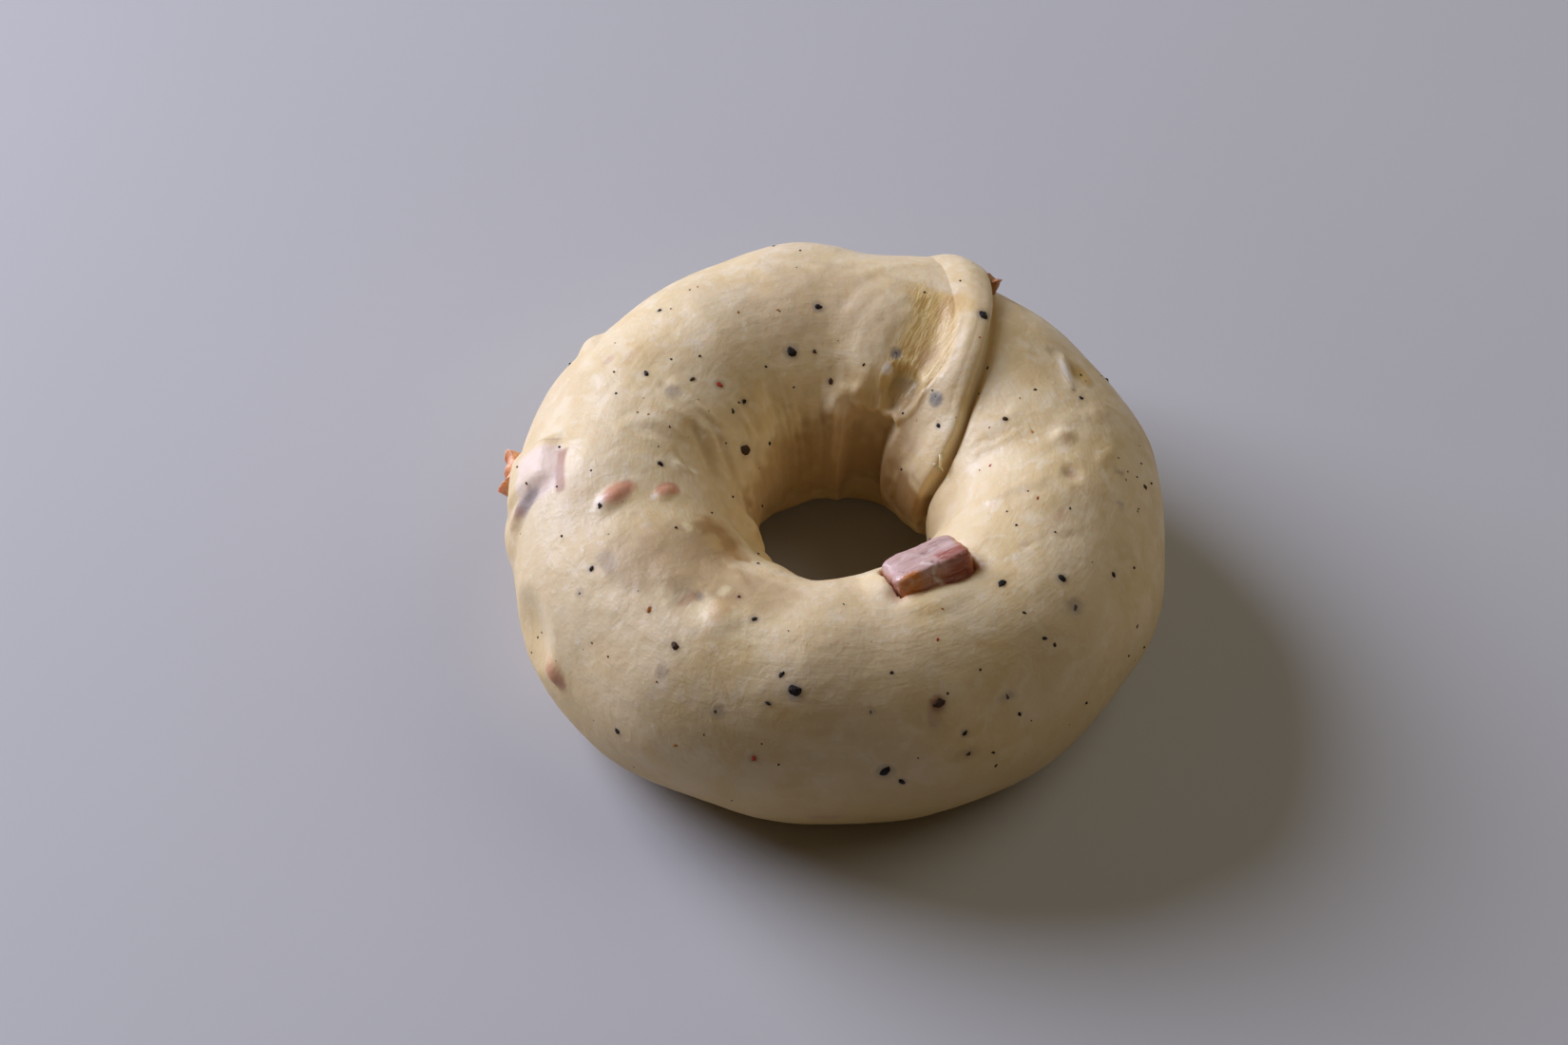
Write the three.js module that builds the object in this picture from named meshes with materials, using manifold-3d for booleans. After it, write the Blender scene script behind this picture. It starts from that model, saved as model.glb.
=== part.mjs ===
// A hand-shaped ring of raw bagel dough, with diced bacon and cracked pepper worked into it.
// Millimetres, +Z up. The ring lies flat on Z = 0 and the origin is the middle of its footprint.
// Two angles place everything, in degrees. theta runs round the ring, anticlockwise from +X as seen
// from above. phi runs round the rope's section: 0 faces the hole, 90 is the crest, 180 faces outwards.

import * as THREE from 'three';
import { mergeVertices } from 'three/addons/utils/BufferGeometryUtils.js';
import Module from 'manifold-3d';

// The rope every 30 degrees round the ring: hole radius, outer radius, height
const SECTIONS = [
  [13.0, 45.5, 32.5], [12.5, 45.0, 32.5], [11.0, 45.0, 33.0], [11.0, 45.5, 34.0],
  [11.0, 45.5, 34.0], [10.5, 44.8, 33.5], [11.0, 44.0, 33.0], [12.0, 45.0, 32.5],
  [12.5, 44.3, 33.0], [12.5, 43.4, 33.0], [12.5, 44.0, 33.0], [13.0, 45.5, 33.0],
];
const WIDEST_AT = 0.47; // height of the rope's widest line, as a share of the rope's height
const SAG = 1.15; // the lower half is this much deeper than the table allows, so it lies flat
const CONTACT = THREE.MathUtils.radToDeg(Math.asin(1 / SAG)); // where the round side meets the table

// The rope's end is wrapped over its start. Each line gives theta where it crosses phi.
const LIP = [[-60, 26], [-20, 20], [8, 14], [28, 14], [46, 21], [62, 31], [80, 38.8], [100, 47],
  [130, 57.4], [180, 67], [240, 68]];
const ROLL_EDGE = [[-60, 50], [22, 50], [46, 48.5], [66, 46], [89, 53.5], [112, 63], [140, 71], [240, 80]];
const HOLLOW_EDGE = [[-60, 88], [10, 87], [34, 83], [50, 77], [66, 73], [85, 72], [104, 76], [140, 85],
  [240, 90]];
const FLAP_END = 122; // the flap has died away into the rope here, at the latest
const FADE_END = [[-60, 122], [70, 122], [105, 106], [128, 86], [180, 92], [240, 98]];

// Heights over the rope, mm, as they change with phi
const FLAP_RISE = [[-60, 0], [-25, 0.4], [5, 1.3], [60, 1.2], [90, 1.4], [112, 1.8], [128, 2.1], [150, 1.8],
  [180, 1.2], [240, 0]];
const HOLLOW_DEPTH = [[-60, 0], [-20, 2.2], [5, 2.4], [26, 2.2], [38, 0.8], [52, 0.9], [62, 0.8], [80, 0.8],
  [98, 0.3], [108, 0], [240, 0]];
const HOLLOW_SLOPE = [[28, 0.7], [48, 0.2]]; // share of its width where the hollow's far side starts to rise
const ROLL_BULGE = 0.9;
const LIP_RADIUS = 1.7; // how far behind the lip the flap takes to reach its full height
const LIP_OVERHANG = 0.8;
const CREASE_DEPTH = 0.7;
const CREASE_WIDTH = 1.1;
const CREASE_START = 2.4; // the crease is felt this far in front of the lip
const LEVEL_BELOW = 4.0; // relief fades out over this height above the table, so the underside stays flat

// Hand-rolled dough is never quite round: waves round the ring, round the rope, their start and height in mm
const WAVES = [
  { round: 5, across: 2, start: 0, height: 0.28 },
  { round: 8, across: -3, start: 1.1, height: 0.22 },
  { round: 13, across: 1, start: 2.3, height: 0.15 },
];

// Lumps and dents: place, half length along the ring, half width across it, turn, height in mm
const RELIEF = [
  { at: [177, 143], size: [4.6, 4.8], turn: 0, height: 1.5, square: true }, // a dice under the skin
  { at: [185, 151], size: [1.6, 3.2], turn: -12, height: 0.9 }, // a peppercorn under the skin
  { at: [184.5, 167], size: [5.0, 4.8], turn: 0, height: 1.0 },
  { at: [205, 168], size: [6.5, 6.0], turn: 0, height: -1.5 }, // the outside is hollowed here
  { at: [194, 98], size: [2.0, 3.3], turn: -28, height: 0.7 }, // a bit of bacon under the skin
  { at: [195, 73], size: [1.4, 2.2], turn: -28, height: 0.4 },
  { at: [214, 171], size: [2.6, 1.9], turn: 20, height: 0.9 },
  { at: [144, 142], size: [3.0, 2.2], turn: 0, height: 0.9 },
  { at: [98, 130], size: [12.0, 6.0], turn: 0, height: 0.4 },
  { at: [29, 117], size: [3.4, 1.0], turn: 10, height: 0.4 }, // the raised side of a split in the skin
  { at: [27, 121], size: [2.4, 1.6], turn: 10, height: -0.4 },
  { at: [354, 98], size: [1.8, 1.8], turn: 0, height: -0.6 },
  { at: [7, 96], size: [1.6, 2.2], turn: 0, height: 0.6 },
  { at: [206, 10], size: [7.0, 4.0], turn: 0, height: 1.8 }, // a fold of dough that leans into the hole
  { at: [232, 97], size: [5.0, 3.0], turn: 25, height: -0.5 },
  { at: [225, 92], size: [4.5, 3.0], turn: 0, height: 0.5 },
  { at: [241, 98], size: [3.0, 3.0], turn: 0, height: 0.4 },
  { at: [88, 34], size: [2.4, 4.5], turn: -10, height: 0.6 }, // the fold at the hollow's far side
  { at: [89, 8], size: [3.0, 9.0], turn: 0, height: 0.4 },
  { at: [32, -36], size: [8.0, 6.0], turn: 0, height: -1.5 }, // the wall draws back under the flap's end
  { at: [285, 62], size: [2.4, 5.0], turn: 0, height: 0.5 }, // dough pushed up by the bacon
  { at: [300, 88], size: [6.4, 2.6], turn: 6, height: 0.3 },
  { at: [325, 66], size: [2.2, 4.0], turn: 0, height: 0.4 },
];
// The long soft crease on the left of the hole: its course, depth and half width
const CREASE_LINE = [[163, 62], [172, 48], [186, 38], [202, 26]];
const SOFT_CREASE = { depth: 0.9, width: 2.6 };

// Cracked pepper that stands out of the dough: theta, phi, width in mm, largest first where it shows
const PEPPER = [
  [156, 78, 2.0], [158, 36, 2.0], [262, 126, 2.0], [279, 165, 2.0], [322, 123, 2.0], [107, 63, 1.8],
  [51, 104, 1.8], [290, 134, 1.8], [235, 132, 1.6], [248, 141, 1.6], [94, 80, 1.4], [235, 120, 1.4],
  [351, 123, 1.4], [327, 113, 1.4], [18, 113, 1.2], [316, 97, 1.2], [255, 161, 1.2], [281, 171, 1.2],
  [248, 94, 1.2], [334, 131, 1.2], [132, 115, 1.2], [183, 75, 1.2], [210, 112, 1.2], [230, 168, 1.2],
];
const GOLDEN_ANGLE = 137.5;
// Grains by a rule round the outside of the back half, which the list does not reach
const MORE_PEPPER = {
  count: 16, fromPhi: 142, phiStep: 23, phiSpan: 52, smallest: 1.1, spread: 0.6, turn: 0.618,
};
const GRAIN_SHAPE = [0.55, 0.42, 0.5]; // half lengths of a grain, as shares of its width
const PEPPER_PROUD = 0.3; // share of a grain's width that stands out of the skin

// The bacon: where it sits, length along the ring, width across it, thickness, turn, how far it stands out
const RIM_DICE = { at: [302.9, 66.5], size: [11.0, 6.8, 6.4], turn: 6, proud: 2.4 };
const RIND = { at: [172.4, 163], thickness: 2.0, turn: 0, proud: 0.1 };
const RIND_OUTLINE = [[3.3, -2.4], [3.4, 2.1], [2.4, 1.5], [1.2, 1.5], [0.4, 1.6], [-0.3, 0.9], [-1.2, 1.3],
  [-2.6, 1.9], [-3.2, 0.4], [-3.1, -2.4]];
const SEAM_BIT = { at: [56.4, 128], thickness: 1.1, turn: 0, proud: 1.3 };
const SEAM_BIT_OUTLINE = [[1.2, -1.6], [1.4, 1.0], [0.6, 0.6], [-0.6, 0.9], [-1.5, 0.4], [-1.1, -1.6]];
const CHIP_BEVEL = 0.3;
const DICE_DETAIL = 5;
const DICE_SQUARENESS = 7; // 2 would be an ellipsoid, and a high number a sharp box
const DICE_UNEVEN = 0.03;
const GAP = 0.3; // clearance between the bacon and the pocket it sits in
const POCKET_EASE = 1.25; // the dice's pocket is a little wider, since its corners point away from its sides

// How finely the skin is divided: columns between the seam's lines, then rows round the section
const SEAM_COLUMNS = [3, 6, 6, 5, 13];
const FRONT_COLUMNS = 16;
const REST_COLUMNS = 46;
const SIDE_ROWS = 40;
const BASE_ROWS = 3;

const rad = THREE.MathUtils.degToRad;
const smooth = THREE.MathUtils.smoothstep;
const wasm = await Module();
wasm.setup();

// A smooth curve through [x, y] points, flat in slope at turning points, held level past the ends
function along(points, x) {
  const last = points.length - 1;
  if (x <= points[0][0]) return points[0][1];
  if (x >= points[last][0]) return points[last][1];
  const slope = (i) => {
    if (i === 0 || i === last) return 0;
    const before = (points[i][1] - points[i - 1][1]) / (points[i][0] - points[i - 1][0]);
    const after = (points[i + 1][1] - points[i][1]) / (points[i + 1][0] - points[i][0]);
    return before * after > 0 ? (2 * before * after) / (before + after) : 0;
  };
  const i = points.findIndex((p, k) => k < last && x < points[k + 1][0]);
  const span = points[i + 1][0] - points[i][0];
  const t = (x - points[i][0]) / span;
  const [h00, h10] = [(1 + 2 * t) * (1 - t) ** 2, t * (1 - t) ** 2];
  const h11 = t * t * (1 - t);
  return h00 * points[i][1] + (1 - h00) * points[i + 1][1] + span * (h10 * slope(i) - h11 * slope(i + 1));
}

// Under the ring, between the two contact lines, a seam line runs straight from side to side
function seamLine(points, phi) {
  const outerEnd = 180 + CONTACT;
  if (phi <= outerEnd) return along(points, phi);
  const [from, to] = [along(points, outerEnd), along(points, -CONTACT)];
  return THREE.MathUtils.mapLinear(phi, outerEnd, 360 - CONTACT, from, to);
}

// The rope's section at theta, between the stated ones
function sectionAt(theta) {
  const place = THREE.MathUtils.euclideanModulo(theta / 30, SECTIONS.length);
  const i = Math.floor(place);
  const t = place - i;
  const near = [-1, 0, 1, 2].map((k) => SECTIONS[(i + k + SECTIONS.length) % SECTIONS.length]);
  const [inner, outer, height] = [0, 1, 2].map((k) => {
    const [p0, p1, p2, p3] = near.map((section) => section[k]);
    const [m1, m2] = [(p2 - p0) / 2, (p3 - p1) / 2];
    return ((2 * p1 - 2 * p2 + m1 + m2) * t + (-3 * p1 + 3 * p2 - 2 * m1 - m2)) * t * t + m1 * t + p1;
  });
  return { middle: (inner + outer) / 2, halfWidth: (outer - inner) / 2, height };
}

// The plain rope's surface, without the seam or any lump
function ropePoint(theta, phi) {
  const { middle, halfWidth, height } = sectionAt(theta);
  const widest = WIDEST_AT * height;
  const up = Math.sin(rad(phi));
  const z = widest + (up >= 0 ? height - widest : SAG * widest) * up;
  const r = middle - halfWidth * Math.cos(rad(phi));
  return new THREE.Vector3(r * Math.cos(rad(theta)), r * Math.sin(rad(theta)), Math.max(z, 0));
}

// Directions at a place on the rope: along the ring, across it towards the outside, and out of the skin
function frameAt(theta, phi) {
  const step = 0.5;
  const across = ropePoint(theta, phi + step).sub(ropePoint(theta, phi - step)).normalize();
  const ring = new THREE.Vector3(-Math.sin(rad(theta)), Math.cos(rad(theta)), 0);
  const out = new THREE.Vector3().crossVectors(ring, across).negate().normalize();
  return { ring, across, out };
}

// Distance from one place to another over the skin, mm, along and across the ring
function offsetFrom(place, theta, phi) {
  const { middle, halfWidth } = sectionAt(place[0]);
  const radius = middle - halfWidth * Math.cos(rad(place[1]));
  const turn = THREE.MathUtils.euclideanModulo(theta - place[0] + 180, 360) - 180;
  return [rad(turn) * radius, rad(phi - place[1]) * halfWidth];
}

function lumpHeight({ at, size, turn, height, square }, theta, phi) {
  const [x, y] = offsetFrom(at, theta, phi);
  const [c, s] = [Math.cos(rad(turn)), Math.sin(rad(turn))];
  const [u, v] = [Math.abs(x * c + y * s) / size[0], Math.abs(y * c - x * s) / size[1]];
  if (square) return height * (1 - smooth(u, 0.6, 1.25)) * (1 - smooth(v, 0.6, 1.25));
  return height * Math.max(0, 1 - u * u - v * v) ** 1.5;
}

// The soft crease, as the distance from the nearest of its straight stretches
function creaseHeight(theta, phi) {
  const gaps = CREASE_LINE.slice(1).map((end, i) => {
    const [ex, ey] = offsetFrom(CREASE_LINE[i], end[0], end[1]);
    const [x, y] = offsetFrom(CREASE_LINE[i], theta, phi);
    const t = THREE.MathUtils.clamp((x * ex + y * ey) / (ex * ex + ey * ey), 0, 1);
    return Math.hypot(x - t * ex, y - t * ey);
  });
  return -SOFT_CREASE.depth * Math.max(0, 1 - Math.min(...gaps) / SOFT_CREASE.width) ** 2;
}

function unevenness(theta, phi) {
  return WAVES.reduce((sum, { round, across, start, height }) => (
    sum + height * Math.sin(round * rad(theta) + across * rad(phi) + start)
  ), 0);
}

// The seam at a place: how high the skin stands over the plain rope, and how far it leans over the crease
function seamShape(theta, phi) {
  const lip = seamLine(LIP, phi);
  const [s] = offsetFrom([lip, phi], theta, phi);
  if (theta > FLAP_END || s < -CREASE_START) return { height: 0, lean: 0 };
  const rise = along(FLAP_RISE, phi);
  const crease = -CREASE_DEPTH * Math.exp(-((s / CREASE_WIDTH) ** 2)) * Math.min(1, rise);
  if (s <= 0) return { height: crease * smooth(s, -CREASE_START, -CREASE_START / 2), lean: 0 };
  const behind = Math.min(s / LIP_RADIUS, 1);
  const edge = Math.sqrt(1 - (1 - behind) ** 2);
  const rollEdge = seamLine(ROLL_EDGE, phi);
  const hollowEdge = seamLine(HOLLOW_EDGE, phi);
  const onRoll = THREE.MathUtils.clamp((theta - lip) / (rollEdge - lip), 0, 1);
  const inHollow = THREE.MathUtils.clamp((theta - rollEdge) / (hollowEdge - rollEdge), 0, 1);
  const bulge = ROLL_BULGE * Math.min(1, rise) * Math.sin(Math.PI * onRoll);
  const hollow = along(HOLLOW_DEPTH, phi) * smooth(inHollow, 0, 0.3)
    * (1 - smooth(inHollow, along(HOLLOW_SLOPE, phi), 1));
  const fading = 1 - smooth(theta, lip, seamLine(FADE_END, phi));
  return {
    height: (rise * fading + bulge) * edge + crease * (1 - edge) - hollow,
    lean: LIP_OVERHANG * Math.min(1, rise) * Math.sin(Math.PI * behind),
  };
}

// The finished skin. Nothing lifts the part of it that lies on the table.
function doughPoint(theta, phi) {
  const point = ropePoint(theta, phi);
  const standing = smooth(point.z, 0, LEVEL_BELOW);
  if (standing === 0) return point;
  const { ring, out } = frameAt(theta, phi);
  const seam = seamShape(theta, phi);
  const lumps = RELIEF.reduce((sum, lump) => sum + lumpHeight(lump, theta, phi), 0);
  const height = seam.height + lumps + creaseHeight(theta, phi) + unevenness(theta, phi);
  return point.addScaledVector(out, standing * height).addScaledVector(ring, -standing * seam.lean);
}

// The columns' angles at phi: close together where the seam is, and even elsewhere
function columnsAt(phi) {
  const lip = seamLine(LIP, phi);
  const { middle, halfWidth } = sectionAt(lip);
  const degrees = THREE.MathUtils.radToDeg(1 / (middle - halfWidth * Math.cos(rad(phi))));
  const lines = [lip - CREASE_START * degrees, lip, lip + LIP_RADIUS * degrees, seamLine(ROLL_EDGE, phi),
    seamLine(HOLLOW_EDGE, phi), FLAP_END];
  const columns = [];
  const fill = (from, to, count) => {
    for (let i = 0; i < count; i++) columns.push(from + ((to - from) * i) / count);
  };
  fill(-60, lines[0], FRONT_COLUMNS);
  SEAM_COLUMNS.forEach((count, i) => fill(lines[i], lines[i + 1], count));
  fill(FLAP_END, 300, REST_COLUMNS);
  return columns;
}

function rowAngles() {
  const rows = [];
  for (let i = 0; i < SIDE_ROWS; i++) rows.push(-CONTACT + ((180 + 2 * CONTACT) * i) / SIDE_ROWS);
  for (let i = 0; i < BASE_ROWS; i++) rows.push(180 + CONTACT + ((180 - 2 * CONTACT) * i) / BASE_ROWS);
  return rows;
}

// The skin as a closed grid of triangles
function skinGeometry() {
  const rows = rowAngles().map((phi) => columnsAt(phi).map((theta) => doughPoint(theta, phi)));
  const across = rows[0].length;
  const index = [];
  rows.forEach((row, j) => {
    row.forEach((_, i) => {
      const [a, b] = [j * across + i, j * across + ((i + 1) % across)];
      const next = ((j + 1) % rows.length) * across;
      const [c, d] = [next + ((i + 1) % across), next + i];
      index.push(a, d, b, b, d, c);
    });
  });
  const geometry = new THREE.BufferGeometry().setFromPoints(rows.flat());
  geometry.setIndex(index);
  return geometry;
}

// A piece's place on the ring as a matrix: x along the ring, y across it, z out of the skin
function seat({ at, turn, proud }, depth) {
  const { ring, across, out } = frameAt(at[0], at[1]);
  const place = ropePoint(at[0], at[1]).addScaledVector(out, proud - depth / 2);
  const facing = new THREE.Matrix4().makeBasis(ring.clone().negate(), across, out).setPosition(place);
  return facing.multiply(new THREE.Matrix4().makeRotationZ(rad(-turn)));
}

// A cut cube of meat with soft, slightly uneven corners, grown on every side for its pocket
function diceGeometry(size, grow) {
  const geometry = new THREE.IcosahedronGeometry(1, DICE_DETAIL);
  const corners = geometry.getAttribute('position');
  const direction = new THREE.Vector3();
  const half = size.map((length) => length / 2);
  for (let i = 0; i < corners.count; i++) {
    direction.fromBufferAttribute(corners, i).normalize();
    const { x, y, z } = direction;
    const powers = [x, y, z].map((value, k) => Math.abs(value / half[k]) ** DICE_SQUARENESS);
    const stretch = (powers[0] + powers[1] + powers[2]) ** (-1 / DICE_SQUARENESS);
    const uneven = 1 + DICE_UNEVEN * (Math.sin(4 * x + 2 * y) + Math.sin(5 * y - 3 * z + 1));
    direction.multiplyScalar(stretch * uneven + grow * POCKET_EASE);
    corners.setXYZ(i, direction.x, direction.y, direction.z);
  }
  return geometry;
}

// A ragged chip cut to an outline: its length runs along the ring and its jags point out of the skin
function chipGeometry(outline, thickness, grow) {
  const shape = new THREE.Shape(outline.map(([x, y]) => new THREE.Vector2(x, y)));
  const bevel = CHIP_BEVEL + grow;
  const geometry = new THREE.ExtrudeGeometry(shape, {
    depth: thickness, bevelEnabled: true, bevelSize: bevel, bevelThickness: bevel, bevelSegments: 1, steps: 1,
  });
  return geometry.translate(0, 0, -thickness / 2).rotateX(Math.PI / 2);
}

// A grain of cracked pepper, half sunk in the skin
function grainGeometry([theta, phi, width], count) {
  const { out, ring, across } = frameAt(theta, phi);
  const skin = doughPoint(theta, phi).addScaledVector(out, width * (PEPPER_PROUD - 0.5));
  const squash = new THREE.Matrix4().makeScale(...GRAIN_SHAPE.map((share) => share * width));
  const turned = new THREE.Matrix4().makeBasis(ring.clone().negate(), across, out).setPosition(skin)
    .multiply(new THREE.Matrix4().makeRotationZ(count)).multiply(squash);
  return new THREE.IcosahedronGeometry(1, 0).applyMatrix4(turned);
}

function pepperByRule() {
  const { count, fromPhi, phiStep, phiSpan, smallest, spread, turn } = MORE_PEPPER;
  return Array.from({ length: count }, (_, i) => {
    const theta = (i * GOLDEN_ANGLE) % 180;
    const phi = fromPhi + ((i * phiStep) % phiSpan);
    return [theta, phi, smallest + spread * ((i * turn) % 1)];
  });
}

function toSolid(geometry) {
  const bare = geometry.clone();
  bare.deleteAttribute('normal');
  bare.deleteAttribute('uv');
  const merged = mergeVertices(bare, 1e-4);
  return new wasm.Manifold(new wasm.Mesh({
    numProp: 3,
    vertProperties: new Float32Array(merged.getAttribute('position').array),
    triVerts: new Uint32Array(merged.getIndex().array),
  }));
}

function toGeometry(solid) {
  const { vertProperties, triVerts } = solid.getMesh();
  const geometry = new THREE.BufferGeometry();
  geometry.setAttribute('position', new THREE.BufferAttribute(new Float32Array(vertProperties), 3));
  geometry.setIndex(new THREE.BufferAttribute(new Uint32Array(triVerts), 1));
  return geometry;
}

function addPiece(group, name, geometry, colour, roughness) {
  geometry.computeVertexNormals();
  const finish = new THREE.MeshStandardMaterial({ color: colour, roughness, metalness: 0 });
  const piece = new THREE.Mesh(geometry, finish);
  piece.name = name;
  group.add(piece);
}

const rimDice = (grow) => diceGeometry(RIM_DICE.size, grow).applyMatrix4(seat(RIM_DICE, RIM_DICE.size[2]));
const rind = (grow) => chipGeometry(RIND_OUTLINE, RIND.thickness, grow).applyMatrix4(seat(RIND, 0));
function seamBit(grow) {
  return chipGeometry(SEAM_BIT_OUTLINE, SEAM_BIT.thickness, grow).applyMatrix4(seat(SEAM_BIT, 0));
}

function doughGeometry() {
  let solid = toSolid(skinGeometry());
  [...PEPPER, ...pepperByRule()].forEach((grain, i) => {
    solid = solid.add(toSolid(grainGeometry(grain, i)));
  });
  [rimDice, rind, seamBit].forEach((bacon) => {
    solid = solid.subtract(toSolid(bacon(GAP)));
  });
  return toGeometry(solid);
}

const bagel = new THREE.Group();
addPiece(bagel, 'dough', doughGeometry(), 0xdccbb0, 0.5);
addPiece(bagel, 'bacon_dice_rim', rimDice(0), 0xa8796c, 0.4);
addPiece(bagel, 'bacon_rind_left', rind(0), 0xc98a5c, 0.45);
addPiece(bagel, 'bacon_bit_seam', seamBit(0), 0x9a6a3c, 0.45);

// The origin is moved to the middle of the whole footprint, on the table
const extent = new THREE.Box3().setFromObject(bagel);
const centre = extent.getCenter(new THREE.Vector3());
bagel.position.set(-centre.x, -centre.y, -extent.min.z);

export default bagel;
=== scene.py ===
"""An unbaked bagel: a hand-shaped ring of raw dough with diced bacon and cracked pepper in it.

Two angles place everything on the ring, in degrees. theta runs round the ring, anticlockwise from +X as
seen from above. phi runs round the rope's section: 0 faces the hole, 90 is the crest, 180 faces outwards.
Lengths are millimetres until a mesh is made, which is in metres. Colours are linear.
"""

import logging
import math
from collections.abc import Callable
from dataclasses import dataclass, field
from enum import Enum

import bmesh
import bpy
import numpy as np
from mathutils import Matrix, Vector
from mathutils.bvhtree import BVHTree


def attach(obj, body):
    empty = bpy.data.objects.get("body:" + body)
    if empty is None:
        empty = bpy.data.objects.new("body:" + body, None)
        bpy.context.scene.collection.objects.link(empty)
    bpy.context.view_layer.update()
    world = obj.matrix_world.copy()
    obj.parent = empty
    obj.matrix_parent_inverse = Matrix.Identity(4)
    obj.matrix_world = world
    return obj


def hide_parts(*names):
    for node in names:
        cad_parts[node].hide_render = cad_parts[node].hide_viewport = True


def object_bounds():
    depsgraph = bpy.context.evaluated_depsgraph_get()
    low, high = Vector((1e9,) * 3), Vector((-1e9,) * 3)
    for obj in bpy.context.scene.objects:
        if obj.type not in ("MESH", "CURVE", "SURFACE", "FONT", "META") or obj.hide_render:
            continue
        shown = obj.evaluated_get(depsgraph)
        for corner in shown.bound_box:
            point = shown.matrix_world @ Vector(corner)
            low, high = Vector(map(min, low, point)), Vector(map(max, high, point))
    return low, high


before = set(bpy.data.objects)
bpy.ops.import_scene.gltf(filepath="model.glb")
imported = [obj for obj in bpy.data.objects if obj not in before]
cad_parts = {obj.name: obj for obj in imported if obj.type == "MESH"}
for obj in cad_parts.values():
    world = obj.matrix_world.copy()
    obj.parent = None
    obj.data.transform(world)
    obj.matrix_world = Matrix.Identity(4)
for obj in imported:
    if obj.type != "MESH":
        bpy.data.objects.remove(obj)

log = logging.getLogger("bagel")
Colour = tuple[float, float, float]
Place = tuple[float, float]
Noise = Callable[[Place, int], np.ndarray]

MM = 0.001
BOX = [np.array(corner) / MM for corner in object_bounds()]  # the solid's box, which nothing leaves
RING_CENTRE = (0.329, -1.342, 0.0)

# The rope every 30 degrees round the ring: hole radius, outer radius, height
SECTIONS = np.array([
    [13.0, 45.5, 32.5], [12.5, 45.0, 32.5], [11.0, 45.0, 33.0], [11.0, 45.5, 34.0],
    [11.0, 45.5, 34.0], [10.5, 44.8, 33.5], [11.0, 44.0, 33.0], [12.0, 45.0, 32.5],
    [12.5, 44.3, 33.0], [12.5, 43.4, 33.0], [12.5, 44.0, 33.0], [13.0, 45.5, 33.0],
])
SECTION_STEP = 30.0
WIDEST_AT = 0.47
SAG = 1.15
CONTACT = math.degrees(math.asin(1 / SAG))

# The rope's end is wrapped over its start. Each line gives theta where it crosses phi.
LIP = [(-60, 26), (-20, 20), (8, 14), (28, 14), (46, 21), (62, 31), (80, 38.8), (100, 47), (130, 57.4),
       (180, 67), (240, 68)]
ROLL_EDGE = [(-60, 50), (22, 50), (46, 48.5), (66, 46), (89, 53.5), (112, 63), (140, 71), (240, 80)]
HOLLOW_EDGE = [(-60, 88), (10, 87), (34, 83), (50, 77), (66, 73), (85, 72), (104, 76), (140, 85), (240, 90)]
FADE_END = [(-60, 122), (70, 122), (105, 106), (128, 86), (180, 92), (240, 98)]
FLAP_END = 122.0

# Heights over the rope as they change with phi
FLAP_RISE = [(-60, 0), (-25, 0.4), (5, 1.3), (60, 1.2), (90, 1.4), (112, 1.8), (128, 2.1), (150, 1.8),
             (180, 1.2), (240, 0)]
HOLLOW_DEPTH = [(-60, 0), (-20, 2.2), (5, 2.4), (26, 2.2), (38, 0.8), (52, 0.9), (62, 0.8), (80, 0.8),
                (98, 0.3), (108, 0), (240, 0)]
HOLLOW_SLOPE = [(28, 0.7), (48, 0.2)]
ROLL_BULGE = 0.9
LIP_RADIUS = 1.7
LIP_OVERHANG = 0.8
CREASE_DEPTH = 0.7
CREASE_WIDTH = 1.1
CREASE_START = 2.4
LEVEL_BELOW = 4.0
WAVES = [(5, 2, 0.0, 0.28), (8, -3, 1.1, 0.22), (13, 1, 2.3, 0.15)]
CREASE_LINE = [(163, 62), (172, 48), (186, 38), (202, 26)]
SOFT_CREASE_DEPTH = 0.9
SOFT_CREASE_WIDTH = 2.6

# A Mix node's share and two colours, and its mixed colour, by number
MIX_INPUTS = (0, 6, 7)
MIX_OUTPUT = 2

# The skin rolled out on a plain tube, for patterns that run along or across it
TUBE_RADIUS = 30.0
TUBE_PER_DEGREE = 0.28


class Slot(Enum):
    """The material slots."""

    DOUGH = "dough"
    BACON = "bacon"
    RIND = "rind"
    PEPPER = "pepper"


class Tint(Enum):
    """Colours that show through the dough's skin or lie on it. The pocket's, the umber and the tan colours
    are painted shade, and the pale colour serves also as a painted highlight.
    """

    WINDOW = (0.44, 0.32, 0.155)
    # painted shade: brown for the lower pocket, which lies in shade
    POCKET = (0.60, 0.44, 0.25)
    PINK = (0.52, 0.24, 0.145)
    STRIP = (0.42, 0.205, 0.115)
    FLESH = (0.62, 0.31, 0.185)
    AMBER = (0.70, 0.49, 0.19)
    ROSE = (0.52, 0.28, 0.19)
    LILAC = (0.88, 0.72, 0.615)
    RUST = (0.60, 0.38, 0.16)
    # painted shade: a darker umber for dough that lies in soft shade
    UMBER = (0.56, 0.41, 0.225)
    # painted shade: a deep brown for dough that lies in shadow
    TAN = (0.40, 0.235, 0.085)
    CREAM = (0.93, 0.80, 0.48)
    GREY = (0.27, 0.21, 0.185)
    SLATE = (0.20, 0.20, 0.19)
    BROWN = (0.36, 0.21, 0.12)
    OLIVE = (0.46, 0.36, 0.21)
    # pale skin, and also a painted highlight where it is laid on raised edges
    PALE = (0.92, 0.84, 0.74)


class Grain(Enum):
    """What a speck in the dough is made of, as its colour."""

    BLACK = (0.012, 0.010, 0.009)
    BROWN = (0.060, 0.030, 0.014)
    SLATE = (0.085, 0.078, 0.080)
    RED = (0.48, 0.07, 0.035)
    AMBER = (0.55, 0.23, 0.05)


@dataclass(frozen=True)
class Pixel:
    """A place on the skin, by the photograph's pixel that it shows at.

    Args:
        x: pixels from the left of the 1650 pixel wide picture.
        y: pixels from the top.
    """

    x: float
    y: float


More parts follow.
